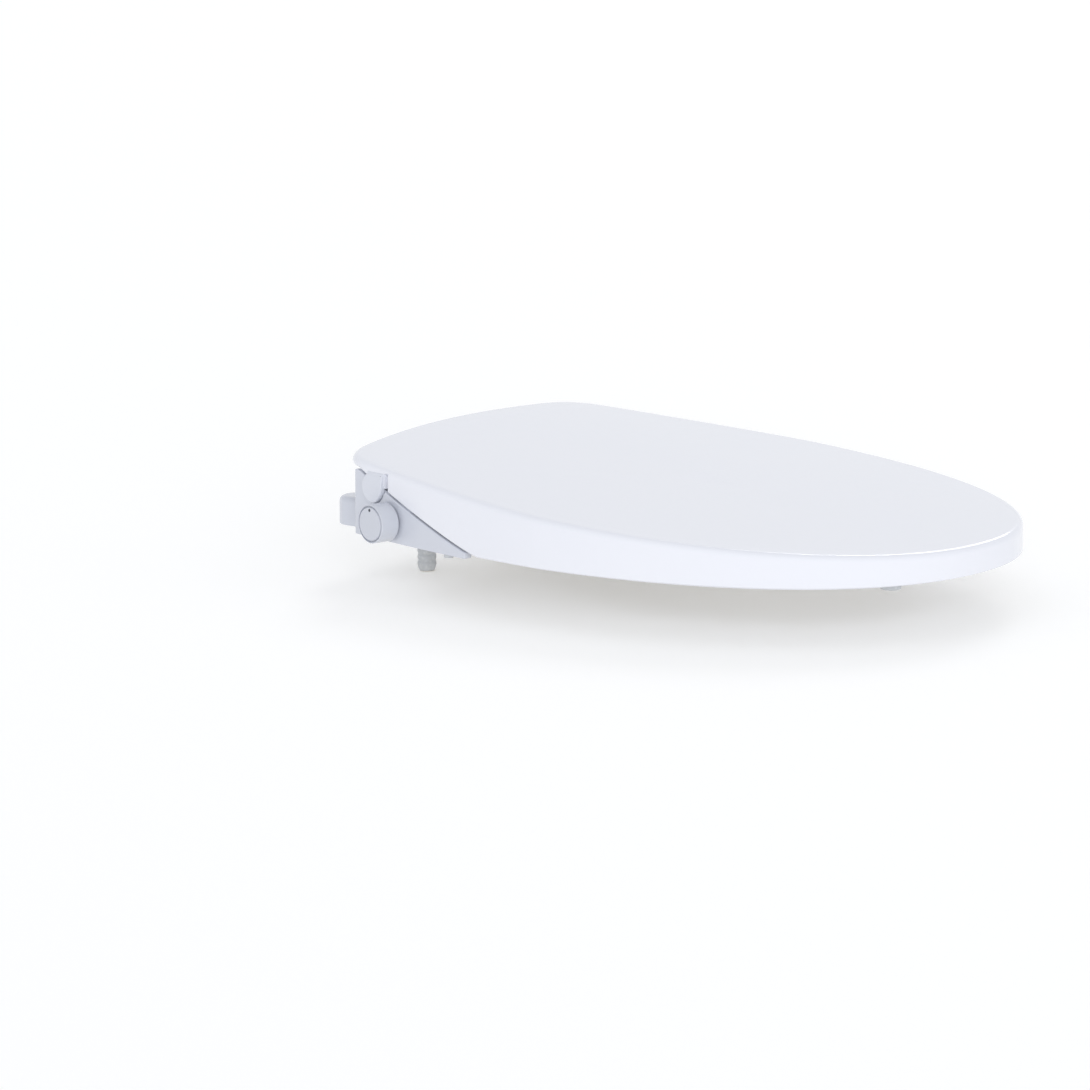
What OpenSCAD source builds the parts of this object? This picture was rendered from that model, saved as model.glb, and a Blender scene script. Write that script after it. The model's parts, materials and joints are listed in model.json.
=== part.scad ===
// Water-powered bidet seat with a side knob: lid, seat ring, housing, valve and two nozzles.
// Origin: midway between the two fixing plugs, on the bowl's deck. +Z up, the sitter faces -Y,
// the knob is on -X. Millimetres.

/* [Lid outline] */
// Overall width of the lid
lid_w = 366; // [352:1:376]
// Front tip of the lid, ahead of the fixing line
tip_reach = 440; // [430:1:450]
// Widest point of the lid, behind its front tip
widest_back = 262; // [250:1:270]
// Rear corners of the lid, behind the fixing line
rear_reach = 35; // [34:1:37]
// Width between the lid's rear corners
rear_w = 280; // [276:1:286]
// Bow of the rear edge behind its corners
rear_bow = 10; // [8:1:10]
// Reach of the lid's rounded rear corners along each edge
corner_r = 34; // [30:1:36]

/* [Lid section] */
// Height of the lid's top edge at the tip
front_h = 26.4; // [25:0.2:28]
// Height of the lid's top edge at the rear corners
rear_h = 60.3; // [59.5:0.2:61]
// Rise of the crown above the edge
crown = 2; // [1:0.5:4]
// Rise of the rear edge's middle above its corners
dome = 2; // [1:0.5:3]
// Gap between the bowl rim and the lid's skirt
skirt_gap = 5.6; // [5:0.2:6.4]
// Wall of the lid
lid_wall = 2.8; // [2.4:0.1:3]
// Radius of the lid's top edge
edge_r = 5; // [4:0.5:6]
// Depth of the lip below the top edge at the rear
rear_lip = 5.6; // [5.4:0.2:7]

/* [Hinge] */
// Hinge axis behind the fixing line
hinge_y = 22; // [21:0.5:22.5]
// Hinge axis above the deck
hinge_z = 44; // [43.5:0.5:44.5]
// Radius of the hinge barrels
barrel_r = 9; // [8.5:0.1:9.2]
// Radius of the two hinge shafts
shaft_r = 4; // [3.5:0.1:4.5]
// Inner end of the seat arms, from the middle
arm_x = 75; // [74:1:77]
// Width of each seat arm
seat_arm_w = 25; // [22:1:26]
// Width of each lid arm
lid_arm_w = 17; // [14:1:18]

/* [Seat ring] */
// Edge of the seat ring inside the lid's edge
seat_margin = 7; // [6.5:0.5:11]
// Width of the opening in the seat ring
opening_w = 212; // [204:1:222]
// Front end of the opening, behind the lid's tip
opening_front = 68; // [62:1:76]
// Height of the seat's top at the front
seat_front_h = 19.5; // [18.5:0.5:20]
// Rise of the seat's top from front to rear
seat_rise = 8.5; // [6:0.5:9]
// Thickness of the seat's top wall
seat_wall = 3.4; // [3:0.2:4]

/* [Housing] */
// Thickness of the housing's walls
wall = 2.4; // [2.2:0.1:2.6]
// Underside of the housing above the deck
base_z = 2.5; // [2.2:0.1:2.8]
// Top of the housing
cover_h = 34; // [33.5:0.1:34.2]
// Front wall of the housing, ahead of the fixing line
body_front = 50; // [49:0.5:51]
// Rear wall of the housing, behind the fixing line
body_rear = 14; // [13:0.5:14.5]
// Height of the low foot
foot_h = 17; // [16:0.5:17.5]
// Front end of the side wings, ahead of the fixing line
wing_front = 120; // [116:1:124]
// Seam between lid and housing
seam = 1.8; // [1:0.1:2.2]

/* [Knob and valve] */
// Radius of the knob
knob_r = 14.2; // [13:0.2:14.4]
// Length of the knob
knob_len = 18.5; // [16:0.5:20]
// Knob's place ahead of the fixing line
knob_y = 26.7; // [25:0.1:28]
// Height of the knob's axis
knob_z = 18; // [17.6:0.1:18.4]
// Radius of the valve body
valve_r = 9.5; // [9:0.1:10]
// Length of the valve body
valve_len = 30; // [28:0.5:32]

/* [Nozzles] */
// Tilt of the nozzles below the horizontal
nozzle_tilt = 22; // [21:0.5:23]
// Radius of the nozzle tubes
nozzle_r = 4; // [3.8:0.1:4.1]
// Length of each nozzle
nozzle_len = 70.5; // [68:0.5:71]
// Distance between the two nozzles
nozzle_pitch = 17; // [16:0.5:18]
// Stroke of each nozzle
nozzle_stroke = 30; // [26:1:30]
// Bore of the nozzle cylinders
cylinder_r = 5.2; // [5.1:0.05:5.3]

/* [Fixing] */
// Distance between the two fixing plugs
fixing_pitch = 155; // [150:1:160]
// Radius of the rubber expansion plugs
plug_r = 7; // [6.5:0.1:7.5]
// Length of the plugs below the deck
plug_len = 34; // [30:1:38]
// Radius of the fixing bolts
bolt_r = 3; // [2.5:0.1:3.2]
// Thickness of the mounting plate
plate_t = 4; // [3.8:0.1:4.2]

/* [Water inlet] */
// Radius of the inlet's G 1/2 thread
inlet_r = 10.48; // [10.4:0.01:10.5]
// Length of the inlet's thread
inlet_len = 13; // [11:0.5:15]
// Place of the inlet behind the fixing line
inlet_y = 0; // [-2:0.5:1]

/* [Hidden] */
$fn = 48;
tiny = 0.01;        // overlap that joins the pieces of one solid
run_gap = 0.06;     // running clearance of a shaft in its bore
part_gap = 0.6;     // gap between pieces that pass each other
white = [0.93, 0.94, 0.96];
grey = [0.72, 0.74, 0.77];
rubber = [0.45, 0.46, 0.48];
steel = [0.75, 0.76, 0.78];
brass = [0.78, 0.64, 0.34];

// ---- the lid's outline ----
tip_y = -tip_reach;
wide_y = tip_y + widest_back;
front_exp = 2.15;   // bluntness of the front's superellipse
side_exp = 1.42;    // how late the sides start to converge
step_y = -25.5;     // where the side walls turn from wing to cheek, ahead of the ear
rise_share = 0.64;  // share of the top's rise that is straight; the rest grows as a square
case_corner = 20;   // reach of the housing's rear corners, smaller than the lid's
case_bow = 7;
mid_y = wide_y - 20; // centre that the crown's rings shrink to

function arc_front(w, tip, wide, n) = [for (i = [0:n]) let(a = 90 * i / n)
    [w * pow(sin(a), 2 / front_exp), wide - (wide - tip) * pow(cos(a), 2 / front_exp)]];
function side_at(y, w, rear_half, wide, rear) =
    w - (w - rear_half) * pow(max(0, y - wide) / (rear - wide), side_exp);
function slope_at(y, w, rear_half, wide, rear) =
    -(w - rear_half) * side_exp * pow((y - wide) / (rear - wide), side_exp - 1) / (rear - wide);
// Half an outline from the tip to the middle of the rear edge, its side through the given ys
function half_outline(w, rear_half, tip, wide, rear, reach, bow, ys) =
    let(start_y = rear - reach,
        sx = side_at(start_y, w, rear_half, wide, rear),
        slope = slope_at(start_y, w, rear_half, wide, rear),
        drop = 2 * bow * reach / (sx - reach),
        ctrl = [sx + slope * (reach - drop), rear - drop],
        end = [ctrl[0] - reach, rear])
    concat(arc_front(w, tip, wide, 16),
        [for (y = ys) [side_at(y, w, rear_half, wide, rear), y]],
        [for (i = [1:5]) let(t = i / 5)
            (1 - t) * (1 - t) * [sx, start_y] + 2 * t * (1 - t) * ctrl + t * t * end],
        [for (i = [1:5]) let(x = end[0] * (1 - i / 5)) [x, rear + bow * (1 - pow(x / end[0], 2))]]);
function closed(half) = let(n = len(half))
    concat(half, [for (i = [n - 2:-1:1]) [-half[i][0], half[i][1]]]);
function spaced(a, b, n) = [for (i = [1:n]) a + (b - a) * i / n];
function outward(p, i) = let(n = len(p), t = p[(i + 1) % n] - p[(i + n - 1) % n])
    [t[1], -t[0]] / norm(t);
function inset(p, d) = [for (i = [0:len(p) - 1]) p[i] - d * outward(p, i)];

// The sides' points, from the widest point to a rear corner of the given reach
function side_points(reach) = concat(spaced(wide_y, step_y - 0.5, 16), [step_y + 0.5],
    spaced(step_y + 0.5, rear_reach - reach, 3));
lid_edge = closed(half_outline(lid_w / 2, rear_w / 2, tip_y, wide_y, rear_reach, corner_r, rear_bow,
    side_points(corner_r)));
// The housing's walls keep to the lid's sides further back
case_edge = closed(half_outline(lid_w / 2, rear_w / 2, tip_y, wide_y, rear_reach, case_corner, case_bow,
    side_points(case_corner)));
function lid_x(y) = side_at(y, lid_w / 2, rear_w / 2, wide_y, rear_reach);
function wall_turn(y) = atan(-slope_at(y, lid_w / 2, rear_w / 2, wide_y, rear_reach));

// Height of the lid's top edge
function edge_z(y) = let(t = (y - tip_y) / (rear_reach - tip_y))
    front_h + (rear_h - front_h) * (rise_share * t + (1 - rise_share) * t * t);
// Height of the lid's top at a point on its outline: the rear edge is a little higher in its middle
function top_z(p) = edge_z(p[1]) + dome * pow((p[1] - tip_y) / (rear_reach - tip_y), 2)
    * (1 - pow(p[0] / lid_x(p[1]), 2));
// Height of the slanting seam between the lid's skirt and the wing
function seam_z(y) = skirt_gap + 33.4 * pow(max(0, y + wing_front) / (wing_front + step_y + 1.5), 1.15);
// Height of the lid's lower edge: along the seam, and near the rear edge a lip's depth under the top
function skirt_z(y) = min(seam_z(y), edge_z(y) - rear_lip);

// Places the children on the side wall at y, their +X pointing out of it
module on_wall(y, side) {
    translate([side * lid_x(y), y, 0])
        rotate([0, 0, side > 0 ? wall_turn(y) : 180 - wall_turn(y)]) children();
}
// Extrudes a profile drawn in Y and Z along X, from x0 to x1
module along_x(x0, x1) {
    translate([x0, 0, 0]) rotate([90, 0, 90]) linear_extrude(x1 - x0) children();
}
// A cylinder along +X
module rod_x(r, x0, x1) {
    translate([x0, 0, 0]) rotate([0, 90, 0]) cylinder(r = r, h = x1 - x0);
}
module box(x0, x1, y0, y1, z0, z1) {
    translate([x0, y0, z0]) cube([x1 - x0, y1 - y0, z1 - z0]);
}
module both_sides() {
    children();
    mirror([1, 0, 0]) children();
}
module at_hinge() {
    translate([0, hinge_y, hinge_z]) children();
}
// A closed skin: pole, rings from the pole out and back under, pole
module shell_skin(top, rings, under) {
    n = len(rings[0]);
    m = len(rings);
    last = m * n + 1;
    polyhedron(concat([top], [for (r = rings, p = r) p], [under]),
        concat([for (i = [0:n - 1]) [0, 1 + (i + 1) % n, 1 + i]],
            [for (j = [0:m - 2], i = [0:n - 1]) let(a = 1 + j * n, k = (i + 1) % n)
                [a + i, a + k, a + n + k, a + n + i]],
            [for (i = [0:n - 1]) [last, last - n + i, last - n + (i + 1) % n]]), convexity = 6);
}
// A closed skin round a hole: rings from the hole's top edge out, under and back
module ring_skin(rings) {
    n = len(rings[0]);
    m = len(rings);
    polyhedron([for (r = rings, p = r) p],
        [for (j = [0:m - 1], i = [0:n - 1]) let(a = j * n, b = ((j + 1) % m) * n, k = (i + 1) % n)
            [a + i, a + k, b + k, b + i]], convexity = 6);
}

// ---- lid ----
function crown_ring(s, drop) = [for (p = lid_edge)
    let(q = [s * p[0], mid_y + s * (p[1] - mid_y)])
    [q[0], q[1], top_z(q) + crown * (1 - s * s) - drop]];
function edge_ring(a) = let(q = inset(lid_edge, edge_r * (1 - cos(a)))) [for (p = q)
    [p[0], p[1], top_z(p) - edge_r * (1 - sin(a))]];
function skirt_ring(d) = let(q = inset(lid_edge, d)) [for (i = [0:len(q) - 1])
    [q[i][0], q[i][1], skirt_z(lid_edge[i][1])]];
function inner_ring(d, drop) = let(q = inset(lid_edge, d)) [for (p = q)
    [p[0], p[1], top_z(p) - drop]];

lid_arm_x = arm_x + seat_arm_w + part_gap;
module lid_arm(bore) {
    difference() {
        along_x(lid_arm_x, lid_arm_x + lid_arm_w) union() {
            translate([hinge_y, hinge_z]) circle(r = barrel_r);
            polygon([[hinge_y - 8, hinge_z], [hinge_y + 8, hinge_z],
                [hinge_y + barrel_r, top_z([lid_arm_x, hinge_y + barrel_r]) - lid_wall / 2],
                [hinge_y - 12, top_z([lid_arm_x, hinge_y - 12]) - lid_wall / 2]]);
        }
        at_hinge() rod_x(bore, lid_arm_x - 1, lid_arm_x + lid_arm_w + 1);
    }
}
module lid() {
    color(white) difference() {
        union() {
            shell_skin([0, mid_y, edge_z(mid_y) + crown],
                concat([crown_ring(0.35, 0), crown_ring(0.65, 0), crown_ring(0.88, 0)],
                    [edge_ring(90), edge_ring(60), edge_ring(30), edge_ring(0)],
                    [skirt_ring(0), skirt_ring(lid_wall), inner_ring(lid_wall, edge_r),
                        inner_ring(edge_r, lid_wall)],
                    [crown_ring(0.88, lid_wall), crown_ring(0.65, lid_wall),
                        crown_ring(0.35, lid_wall)]),
                [0, mid_y, edge_z(mid_y) + crown - lid_wall]);
            lid_arm(shaft_r);
            mirror([1, 0, 0]) lid_arm(shaft_r + run_gap);
        }
        for (s = [-1, 1]) ear(s, 0);
        for (s = [-1, 1]) slot_ahead(s);
    }
}

// ---- the round-ended ear at each rear side of the lid ----
ear_y = -8.5;
ear_z = 40.5;
ear_r = 11.5;
ear_back = 6.5;    // reach of the ear's neck behind its centre; its front side is straight
ear_in = 1;        // depth of the ear in the wall's surface
ear_out = 2.5;     // how far the ear stands proud
ear_top = 51;
ear_slot = 5;      // width of the slot in front of the ear
module ear(s, gap) {
    front = -s * (ear_r + gap);
    back = s * (ear_back + gap);
    on_wall(ear_y, s) {
        translate([0, 0, ear_z]) rod_x(ear_r + gap, -ear_in - gap, ear_out + gap);
        box(-ear_in - gap, ear_out + gap, min(front, back), max(front, back), ear_z, ear_top + gap * 12);
    }
}
module slot_ahead(s) {
    on_wall(ear_y, s) translate([0, -s * (ear_r + ear_slot / 2), 0])
        box(-lid_wall - 0.6, ear_out, -ear_slot / 2, ear_slot / 2, ear_z - 3, ear_top + 1);
}
// The room that the ear sweeps as the lid starts to open
module ear_pocket(s) {
    for (turn = [0:7:35]) at_hinge() rotate([-turn, 0, 0]) translate([0, -hinge_y, -hinge_z])
        ear(s, ear_gap);
}
ear_gap = 0.4;
module lid_ear_caps() {
    color(white) for (s = [-1, 1]) ear(s, 0);
}

// ---- lid bumpers, between lid and seat ring ----
bumper_r = 6;
front_bumper = [lid_w / 2 - 121, tip_y + 50];
side_bumper = [lid_w / 2 - 61, tip_y + 108];
module lid_bumpers() {
    color(rubber) for (s = [-1, 1], p = [front_bumper, side_bumper])
        let(top = edge_z(p[1]) - lid_wall - 0.6, foot = seat_top(p[1]) + 0.25)
            translate([s * p[0], p[1], foot]) cylinder(r = bumper_r, h = top - foot);
}

// ---- hinge shafts: one turns with the lid, one with the seat ----
shaft_in = 49;      // inner end of each shaft, inside its damper
shaft_out = lid_arm_x + lid_arm_w - 0.5;
module shaft() {
    color(steel) at_hinge() rod_x(shaft_r, shaft_in, shaft_out);
}
module lid_shaft() {
    shaft();
}
module seat_shaft() {
    mirror([1, 0, 0]) shaft();
}

// ---- seat ring ----
seat_tip = tip_y + seat_margin;
seat_rear = -body_front - 4;
seat_w = lid_w - 2 * seat_margin;
seat_rear_half = seat_w / 2 - 26;
rear_bridge = 42;   // depth of the seat ring behind its opening
opening_rear = seat_rear - rear_bridge;
opening_rear_half = opening_w / 2 - 32;
arm_front = seat_rear - 26; // where the arms run into the ring
arm_low = 18;
function seat_top(y) = seat_front_h + seat_rise * (y - seat_tip) / (seat_rear - seat_tip);
// The underside rises over the housing's nose
function seat_under(y) = 3.5 + 10.5 * pow(min(1, max(0, (y + 140) / 36)), 2);
seat_edge = closed(half_outline(seat_w / 2, seat_rear_half, seat_tip, wide_y, seat_rear, 24, 0,
    spaced(wide_y, seat_rear - 24, 10)));
hole_edge = closed(half_outline(opening_w / 2, opening_rear_half, tip_y + opening_front, wide_y - 36,
    opening_rear, 40, 0,
    spaced(wide_y - 36, opening_rear - 40, 10)));
function top_ring(p, drop) = [for (q = p) [q[0], q[1], seat_top(q[1]) - drop]];
function under_ring(p, up) = [for (q = p) [q[0], q[1], seat_under(q[1]) + up]];
module seat_arm(bore) {
    difference() {
        along_x(arm_x, arm_x + seat_arm_w) union() {
            translate([hinge_y, hinge_z]) circle(r = barrel_r);
            // over the housing, down its front and into the ring's top wall
            polygon([[hinge_y, hinge_z - barrel_r], [hinge_y, hinge_z + barrel_r],
                [front_y + 25, hinge_z + 5.4], [seat_rear - 6, hinge_z - 5],
                [arm_front, seat_top(arm_front) - seat_wall / 2], [arm_front + 4, arm_low],
                [seat_rear - 4, arm_low], [seat_rear + 0.5, hinge_z - barrel_r]]);
        }
        at_hinge() rod_x(bore, arm_x - 1, arm_x + seat_arm_w + 1);
    }
}
seat_pad = [[seat_w / 2 - 106, tip_y + 36], [seat_w / 2 - 30, wide_y + 10]];
module seat_ring() {
    color(white) {
        ring_skin([top_ring(inset(hole_edge, -2), 1.6), top_ring(inset(hole_edge, -10), 0),
            top_ring(inset(seat_edge, 14), 0), top_ring(inset(seat_edge, 4), 1.4),
            top_ring(inset(seat_edge, 1), 4.5), under_ring(seat_edge, 1),
            under_ring(inset(seat_edge, 1), 0), under_ring(inset(seat_edge, 4), 0),
            top_ring(inset(seat_edge, 5), seat_wall + 1.4), top_ring(inset(hole_edge, -6), seat_wall + 1),
            under_ring(inset(hole_edge, -5), 0), under_ring(inset(hole_edge, -1), 0),
            under_ring(hole_edge, 2), top_ring(hole_edge, 5)]);
        for (s = [-1, 1], p = seat_pad)
            translate([s * p[0], p[1], 3.5]) cylinder(r = 9, h = seat_top(p[1]) - 3.5 - seat_wall / 2);
        seat_arm(shaft_r + run_gap);
        mirror([1, 0, 0]) seat_arm(shaft_r);
    }
}
module seat_bumpers() {
    color(rubber) for (s = [-1, 1], p = seat_pad)
        translate([s * p[0], p[1], 0]) cylinder(r = 7.5, h = 3.5);
}

// ---- housing ----
front_y = -body_front;
ring_w = 12;        // width of the wall ring that carries the wings and the hinge cheeks
hump_x = 58;        // half width of the raised middle over the nozzles
hump_h = cover_h + 8;
plate_half = 104;
plate_y = 23;
pan_x = plate_half + 6;
pan_y1 = plate_y + 6;
hose_room = 16;     // room for the inlet hose beside the pan
foot_half = pan_x + hose_room;
foot_reach = pan_y1 + hose_room + 5;
foot_end_x = 100;   // where the foot's raised ends begin
foot_end_h = 23.5;
nose_x = 30;
nose_front = -78;
nose_h = 12.6;
cheek_w = 4;
function taper(y) = y > step_y ? cheek_w : 6 + 6 * min(1, max(0, (y + wing_front) / 60));
wing_edge = [for (i = [0:len(case_edge) - 1])
    case_edge[i] - taper(case_edge[i][1]) * outward(case_edge, i)];
// The lid's lower edge as a profile in Y and Z, lowered by d, from y0 to y1
function seam_profile(y0, y1, d) = [for (y = concat([y0], spaced(y0, y1, 20))) [y, skirt_z(y) - d]];
module wall_ring(depth) {
    linear_extrude(80) difference() {
        polygon(case_edge);
        polygon(depth > 0 ? inset(case_edge, depth) : wing_edge);
    }
}
module foot_plan(d) {
    r = 16;
    translate([-foot_half + r + d, 0]) square([2 * (foot_half - r - d), foot_reach - d]);
    translate([-foot_half + d, 0]) square([2 * (foot_half - d), foot_reach - r - d]);
    for (s = [-1, 1]) translate([s * (foot_half - r - d), foot_reach - r - d]) circle(r = r);
}
module foot_ends(d) {
    intersection() {
        foot_plan(d);
        both_sides() translate([foot_end_x + d, 0]) square([100, 100]);
    }
}
block_low = 20;     // foot of the hinge blocks on the rear wall
module hinge_block() {
    along_x(shaft_in - 8, arm_x - part_gap) union() {
        translate([hinge_y, hinge_z]) circle(r = barrel_r);
        polygon([[-4, cover_h - 0.5], [hinge_y - barrel_r, hinge_z], [hinge_y, hinge_z],
            [hinge_y - 0.5, block_low + 5], [body_rear - 2, block_low]]);
    }
}
module cover_solid() {
    intersection() {
        linear_extrude(80) polygon(wing_edge);
        box(-200, 200, front_y, body_rear, base_z, cover_h);
    }
    intersection() {
        wall_ring(0);
        along_x(-200, 200) polygon(concat([[body_rear, base_z], [-wing_front, base_z]],
            seam_profile(-wing_front, body_rear, seam)));
    }
    translate([0, 0, base_z]) linear_extrude(foot_h - base_z) foot_plan(0);
    translate([0, 0, base_z]) linear_extrude(foot_end_h - base_z) foot_ends(0);
    box(-hump_x, hump_x, front_y, body_rear, base_z, hump_h);
    box(-nose_x, nose_x, nose_front, front_y + 1, base_z, nose_h);
    both_sides() hinge_block();
}
module cover_hollow() {
    intersection() {
        linear_extrude(160, center = true) polygon(inset(case_edge, ring_w + wall));
        box(-200, 200, front_y + wall, body_rear - wall, -5, cover_h - wall);
    }
    intersection() {
        linear_extrude(160, center = true) polygon(inset(case_edge, wall));
        along_x(-200, 200) polygon(concat([[body_rear - wall, -5], [front_y + wall, -5]],
            [for (y = concat([front_y + wall], spaced(front_y + wall, body_rear - wall, 8)))
                [y, min(seam_z(y) - seam - wall, cover_h - wall)]]));
    }
    translate([0, 0, -5]) linear_extrude(foot_h - wall + 5) difference() {
        foot_plan(wall);
        translate([-200, -1]) square([400, 2]);
    }
    translate([0, 0, -5]) linear_extrude(foot_end_h - wall + 5) difference() {
        foot_ends(wall);
        translate([-200, -1]) square([400, 2]);
    }
    box(-hump_x + wall, hump_x - wall, front_y + wall, body_rear - wall, -5, hump_h - wall);
    box(-nose_x + wall, nose_x - wall, nose_front - 1, front_y + wall + 1, -5, nose_h - wall);
}
screw_spots = [[84, front_y + 6.2], [48, foot_reach - 6.2], [foot_half - 14, foot_reach - 6.8]];
// Roof over a screw boss
function roof_z(p) = (p[1] < 0 ? cover_h : p[0] > foot_end_x ? foot_end_h : foot_h) - wall;
screw_r = 1.5;
module base_cover() {
    color(white) difference() {
        union() {
            difference() {
                cover_solid();
                cover_hollow();
            }
            // rib behind the release button's spring
            at_button() box(rib_x - rib_t, rib_x, -6, 6, -6, cover_h - button_z - 1);
            // screw bosses
            for (s = [-1, 1], p = screw_spots)
                translate([s * p[0], p[1], base_z + wall - 0.4])
                    cylinder(r = 3.4, h = roof_z(p) - base_z - wall + 1.4);
        }
        for (s = [-1, 1], p = screw_spots)
            translate([s * p[0], p[1], 0]) cylinder(r = screw_r, h = 13);
        for (s = [-1, 1]) ear_pocket(s);
        for (s = [-1, 1]) slot_ahead(s);
        dial_scale();
        // hinge bores and damper seats
        both_sides() at_hinge() {
            rod_x(shaft_r + run_gap, shaft_in - 9, arm_x);
            rod_x(damper_r, shaft_in - 9, damper_end);
        }
        // hole for the valve's neck, the inlet and the release button
        on_wall(-knob_y, -1) translate([0, 0, knob_z]) rod_x(neck_r, -20, 5);
        translate([0, inlet_y, inlet_z]) rod_x(inlet_neck_r, lid_x(inlet_y) - 9, 200);
        on_wall(button_y, 1) translate([0, 0, button_z]) rod_x(button_r + 0.3, -20, 5);
        // guard pin
        translate([0, guard_pin_y, guard_pin_z]) rod_x(guard_pin_r, -nose_x - 1, nose_x + 1);
    }
}

// ---- base bottom ----
pan_mid = 46;
pan_y0 = -28;
pan_roof = 11.2;
tray_t = 2;
tray_gap = 0.3;
module tray_plan() {
    intersection() {
        polygon(inset(case_edge, wall + tray_gap));
        translate([-200, front_y + wall + tray_gap])
            square([400, body_rear - wall - 2 * tray_gap + body_front - wall]);
    }
    difference() {
        foot_plan(wall + tray_gap);
        translate([-200, -1]) square([400, body_rear - 4]);
    }
}
module base_bottom() {
    color(white) difference() {
        union() {
            translate([0, 0, base_z]) linear_extrude(tray_t) tray_plan();
            box(-pan_mid - tray_t, pan_mid + tray_t, pan_y0, pan_y1, base_z, plate_t + tray_t);
            both_sides() box(pan_mid, pan_x, pan_y0, pan_y1, base_z, pan_roof + tray_t);
        }
        // recess over the mounting plate, higher over the fixing bolts
        box(-plate_half - 0.4, plate_half + 0.4, pan_y0 + tray_t, pan_y1 - tray_t, 0, plate_t);
        both_sides() box(pan_mid + tray_t, pan_x - tray_t, pan_y0 + tray_t, pan_y1 - tray_t, 0, pan_roof);
        // way of the release catch through the pan's front wall
        box(tooth[0] - button_travel - 0.5, tooth[1] + 0.5, pan_y0 - 1, pan_y0 + tray_t + 1,
            catch_z - 0.3, catch_z + catch_t + 0.4);
        // opening under the nozzles
        box(-nozzle_block_x - 1.5, nozzle_block_x + 1.5, front_y - 5, -22, 0, 20);
        for (s = [-1, 1], p = screw_spots)
            translate([s * p[0], p[1], 0]) cylinder(r = screw_r + 0.3, h = 13);
    }
}
module case_screws() {
    color(steel) for (s = [-1, 1], p = screw_spots) translate([s * p[0], p[1], 0]) {
        translate([0, 0, base_z - 1.6]) cylinder(r = 3, h = 1.6);
        translate([0, 0, base_z - 0.1]) cylinder(r = screw_r, h = 9);
    }
}
module base_pads() {
    color(rubber) {
        for (s = [-1, 1]) on_wall(-86, s) translate([-5, 0, 0]) cylinder(r = 3.5, h = base_z);
        for (s = [-1, 1]) translate([s * 88, foot_reach - 8, 0]) cylinder(r = 5, h = base_z);
    }
}

// ---- soft-close dampers, one for the lid and one for the seat ----
damper_r = 6.5;
damper_end = shaft_in + 18;
module damper() {
    color(grey) at_hinge() difference() {
        rod_x(damper_r, shaft_in - 7.6, damper_end);
        rod_x(shaft_r + run_gap, shaft_in - 0.4, damper_end + 1);
    }
}
module lid_damper() {
    damper();
}
module seat_damper() {
    mirror([1, 0, 0]) damper();
}

// ---- mounting plate and its fixings ----
slot_len = 22;
collar_r = 11;
adjuster_t = 3;
module slot(r, l, h) {
    for (s = [-1, 1]) translate([s * l / 2, 0, 0]) cylinder(r = r, h = h);
    translate([-l / 2, -r, 0]) cube([l, 2 * r, h]);
}
module mounting_plate() {
    color(white) difference() {
        box(-plate_half, plate_half, -plate_y, plate_y, 0, plate_t);
        for (s = [-1, 1]) translate([s * fixing_pitch / 2, 0, -1]) slot(bolt_r + 1, slot_len, plate_t + 2);
        for (s = [-1, 1]) translate([s * fixing_pitch / 2, 0, -1]) cylinder(r = collar_r + 0.5, h = 3.1);
        box(-26, 26, -plate_y - 1, -8, -1, plate_t + 1);
        // pocket of the catch's tooth, and the channel that frees it
        box(tooth[0] - 0.4, tooth[1] + 0.4, tooth[2] - 0.8, tooth[3] + 0.4, -1, plate_t + 1);
        box(tooth[0] - button_travel - 0.4, tooth[1] - button_travel + 0.4, -plate_y - 1, tooth[3] + 0.4,
            -1, plate_t + 1);
    }
}
module plate_adjusters() {
    color(grey) for (s = [-1, 1]) translate([s * fixing_pitch / 2, 0, plate_t]) difference() {
        cylinder(r = 15, h = adjuster_t);
        translate([0, 0, -1]) cylinder(r = bolt_r + 0.1, h = adjuster_t + 2);
    }
}
module fixing_bolts() {
    color(steel) for (s = [-1, 1]) translate([s * fixing_pitch / 2, 0, 0]) difference() {
        union() {
            translate([0, 0, -plug_len]) cylinder(r = bolt_r, h = plug_len + plate_t + adjuster_t + 1);
            translate([0, 0, plate_t + adjuster_t]) cylinder(r = 6.5, h = 3.2);
        }
        translate([0, 0, plate_t + adjuster_t + 1.4]) cylinder(r = 2.5, h = 3, $fn = 6);
    }
}
nut_h = 6;
nut_r = 5.2;
module rubber_plugs() {
    color(rubber) for (s = [-1, 1]) translate([s * fixing_pitch / 2, 0, 0]) difference() {
        union() {
            translate([0, 0, -plug_len]) cylinder(r = plug_r, h = plug_len + 1);
            cylinder(r = collar_r, h = 2);
        }
        translate([0, 0, -plug_len - 1]) cylinder(r = bolt_r + 0.1, h = plug_len + 4);
        translate([0, 0, -plug_len - 1]) cylinder(r = nut_r, h = nut_h + 1, $fn = 6);
    }
}
module plug_nuts() {
    color(brass) for (s = [-1, 1]) translate([s * fixing_pitch / 2, 0, -plug_len]) difference() {
        cylinder(r = nut_r, h = nut_h, $fn = 6);
        translate([0, 0, -1]) cylinder(r = bolt_r, h = nut_h + 2);
    }
}

// ---- release button on the +X side ----
button_y = -28;
button_z = 16;
button_r = 6.5;
button_travel = 2.5;
spring_wire = 0.5;
tab_x = -15;        // outer face of the catch's tab, inwards of the wall
tab_t = 3;
rib_x = -27;        // outer face of the fixed rib behind the spring
rib_t = 2;
module at_button() {
    on_wall(button_y, 1) translate([0, 0, button_z]) children();
}
module release_button() {
    color(grey) at_button() {
        rod_x(button_r, -wall - 1.5, 1.2);
        rod_x(button_r + 1.6, -wall - 1.5, -wall - 0.3);
        rod_x(2.4, tab_x, -wall - 1);
    }
}
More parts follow.
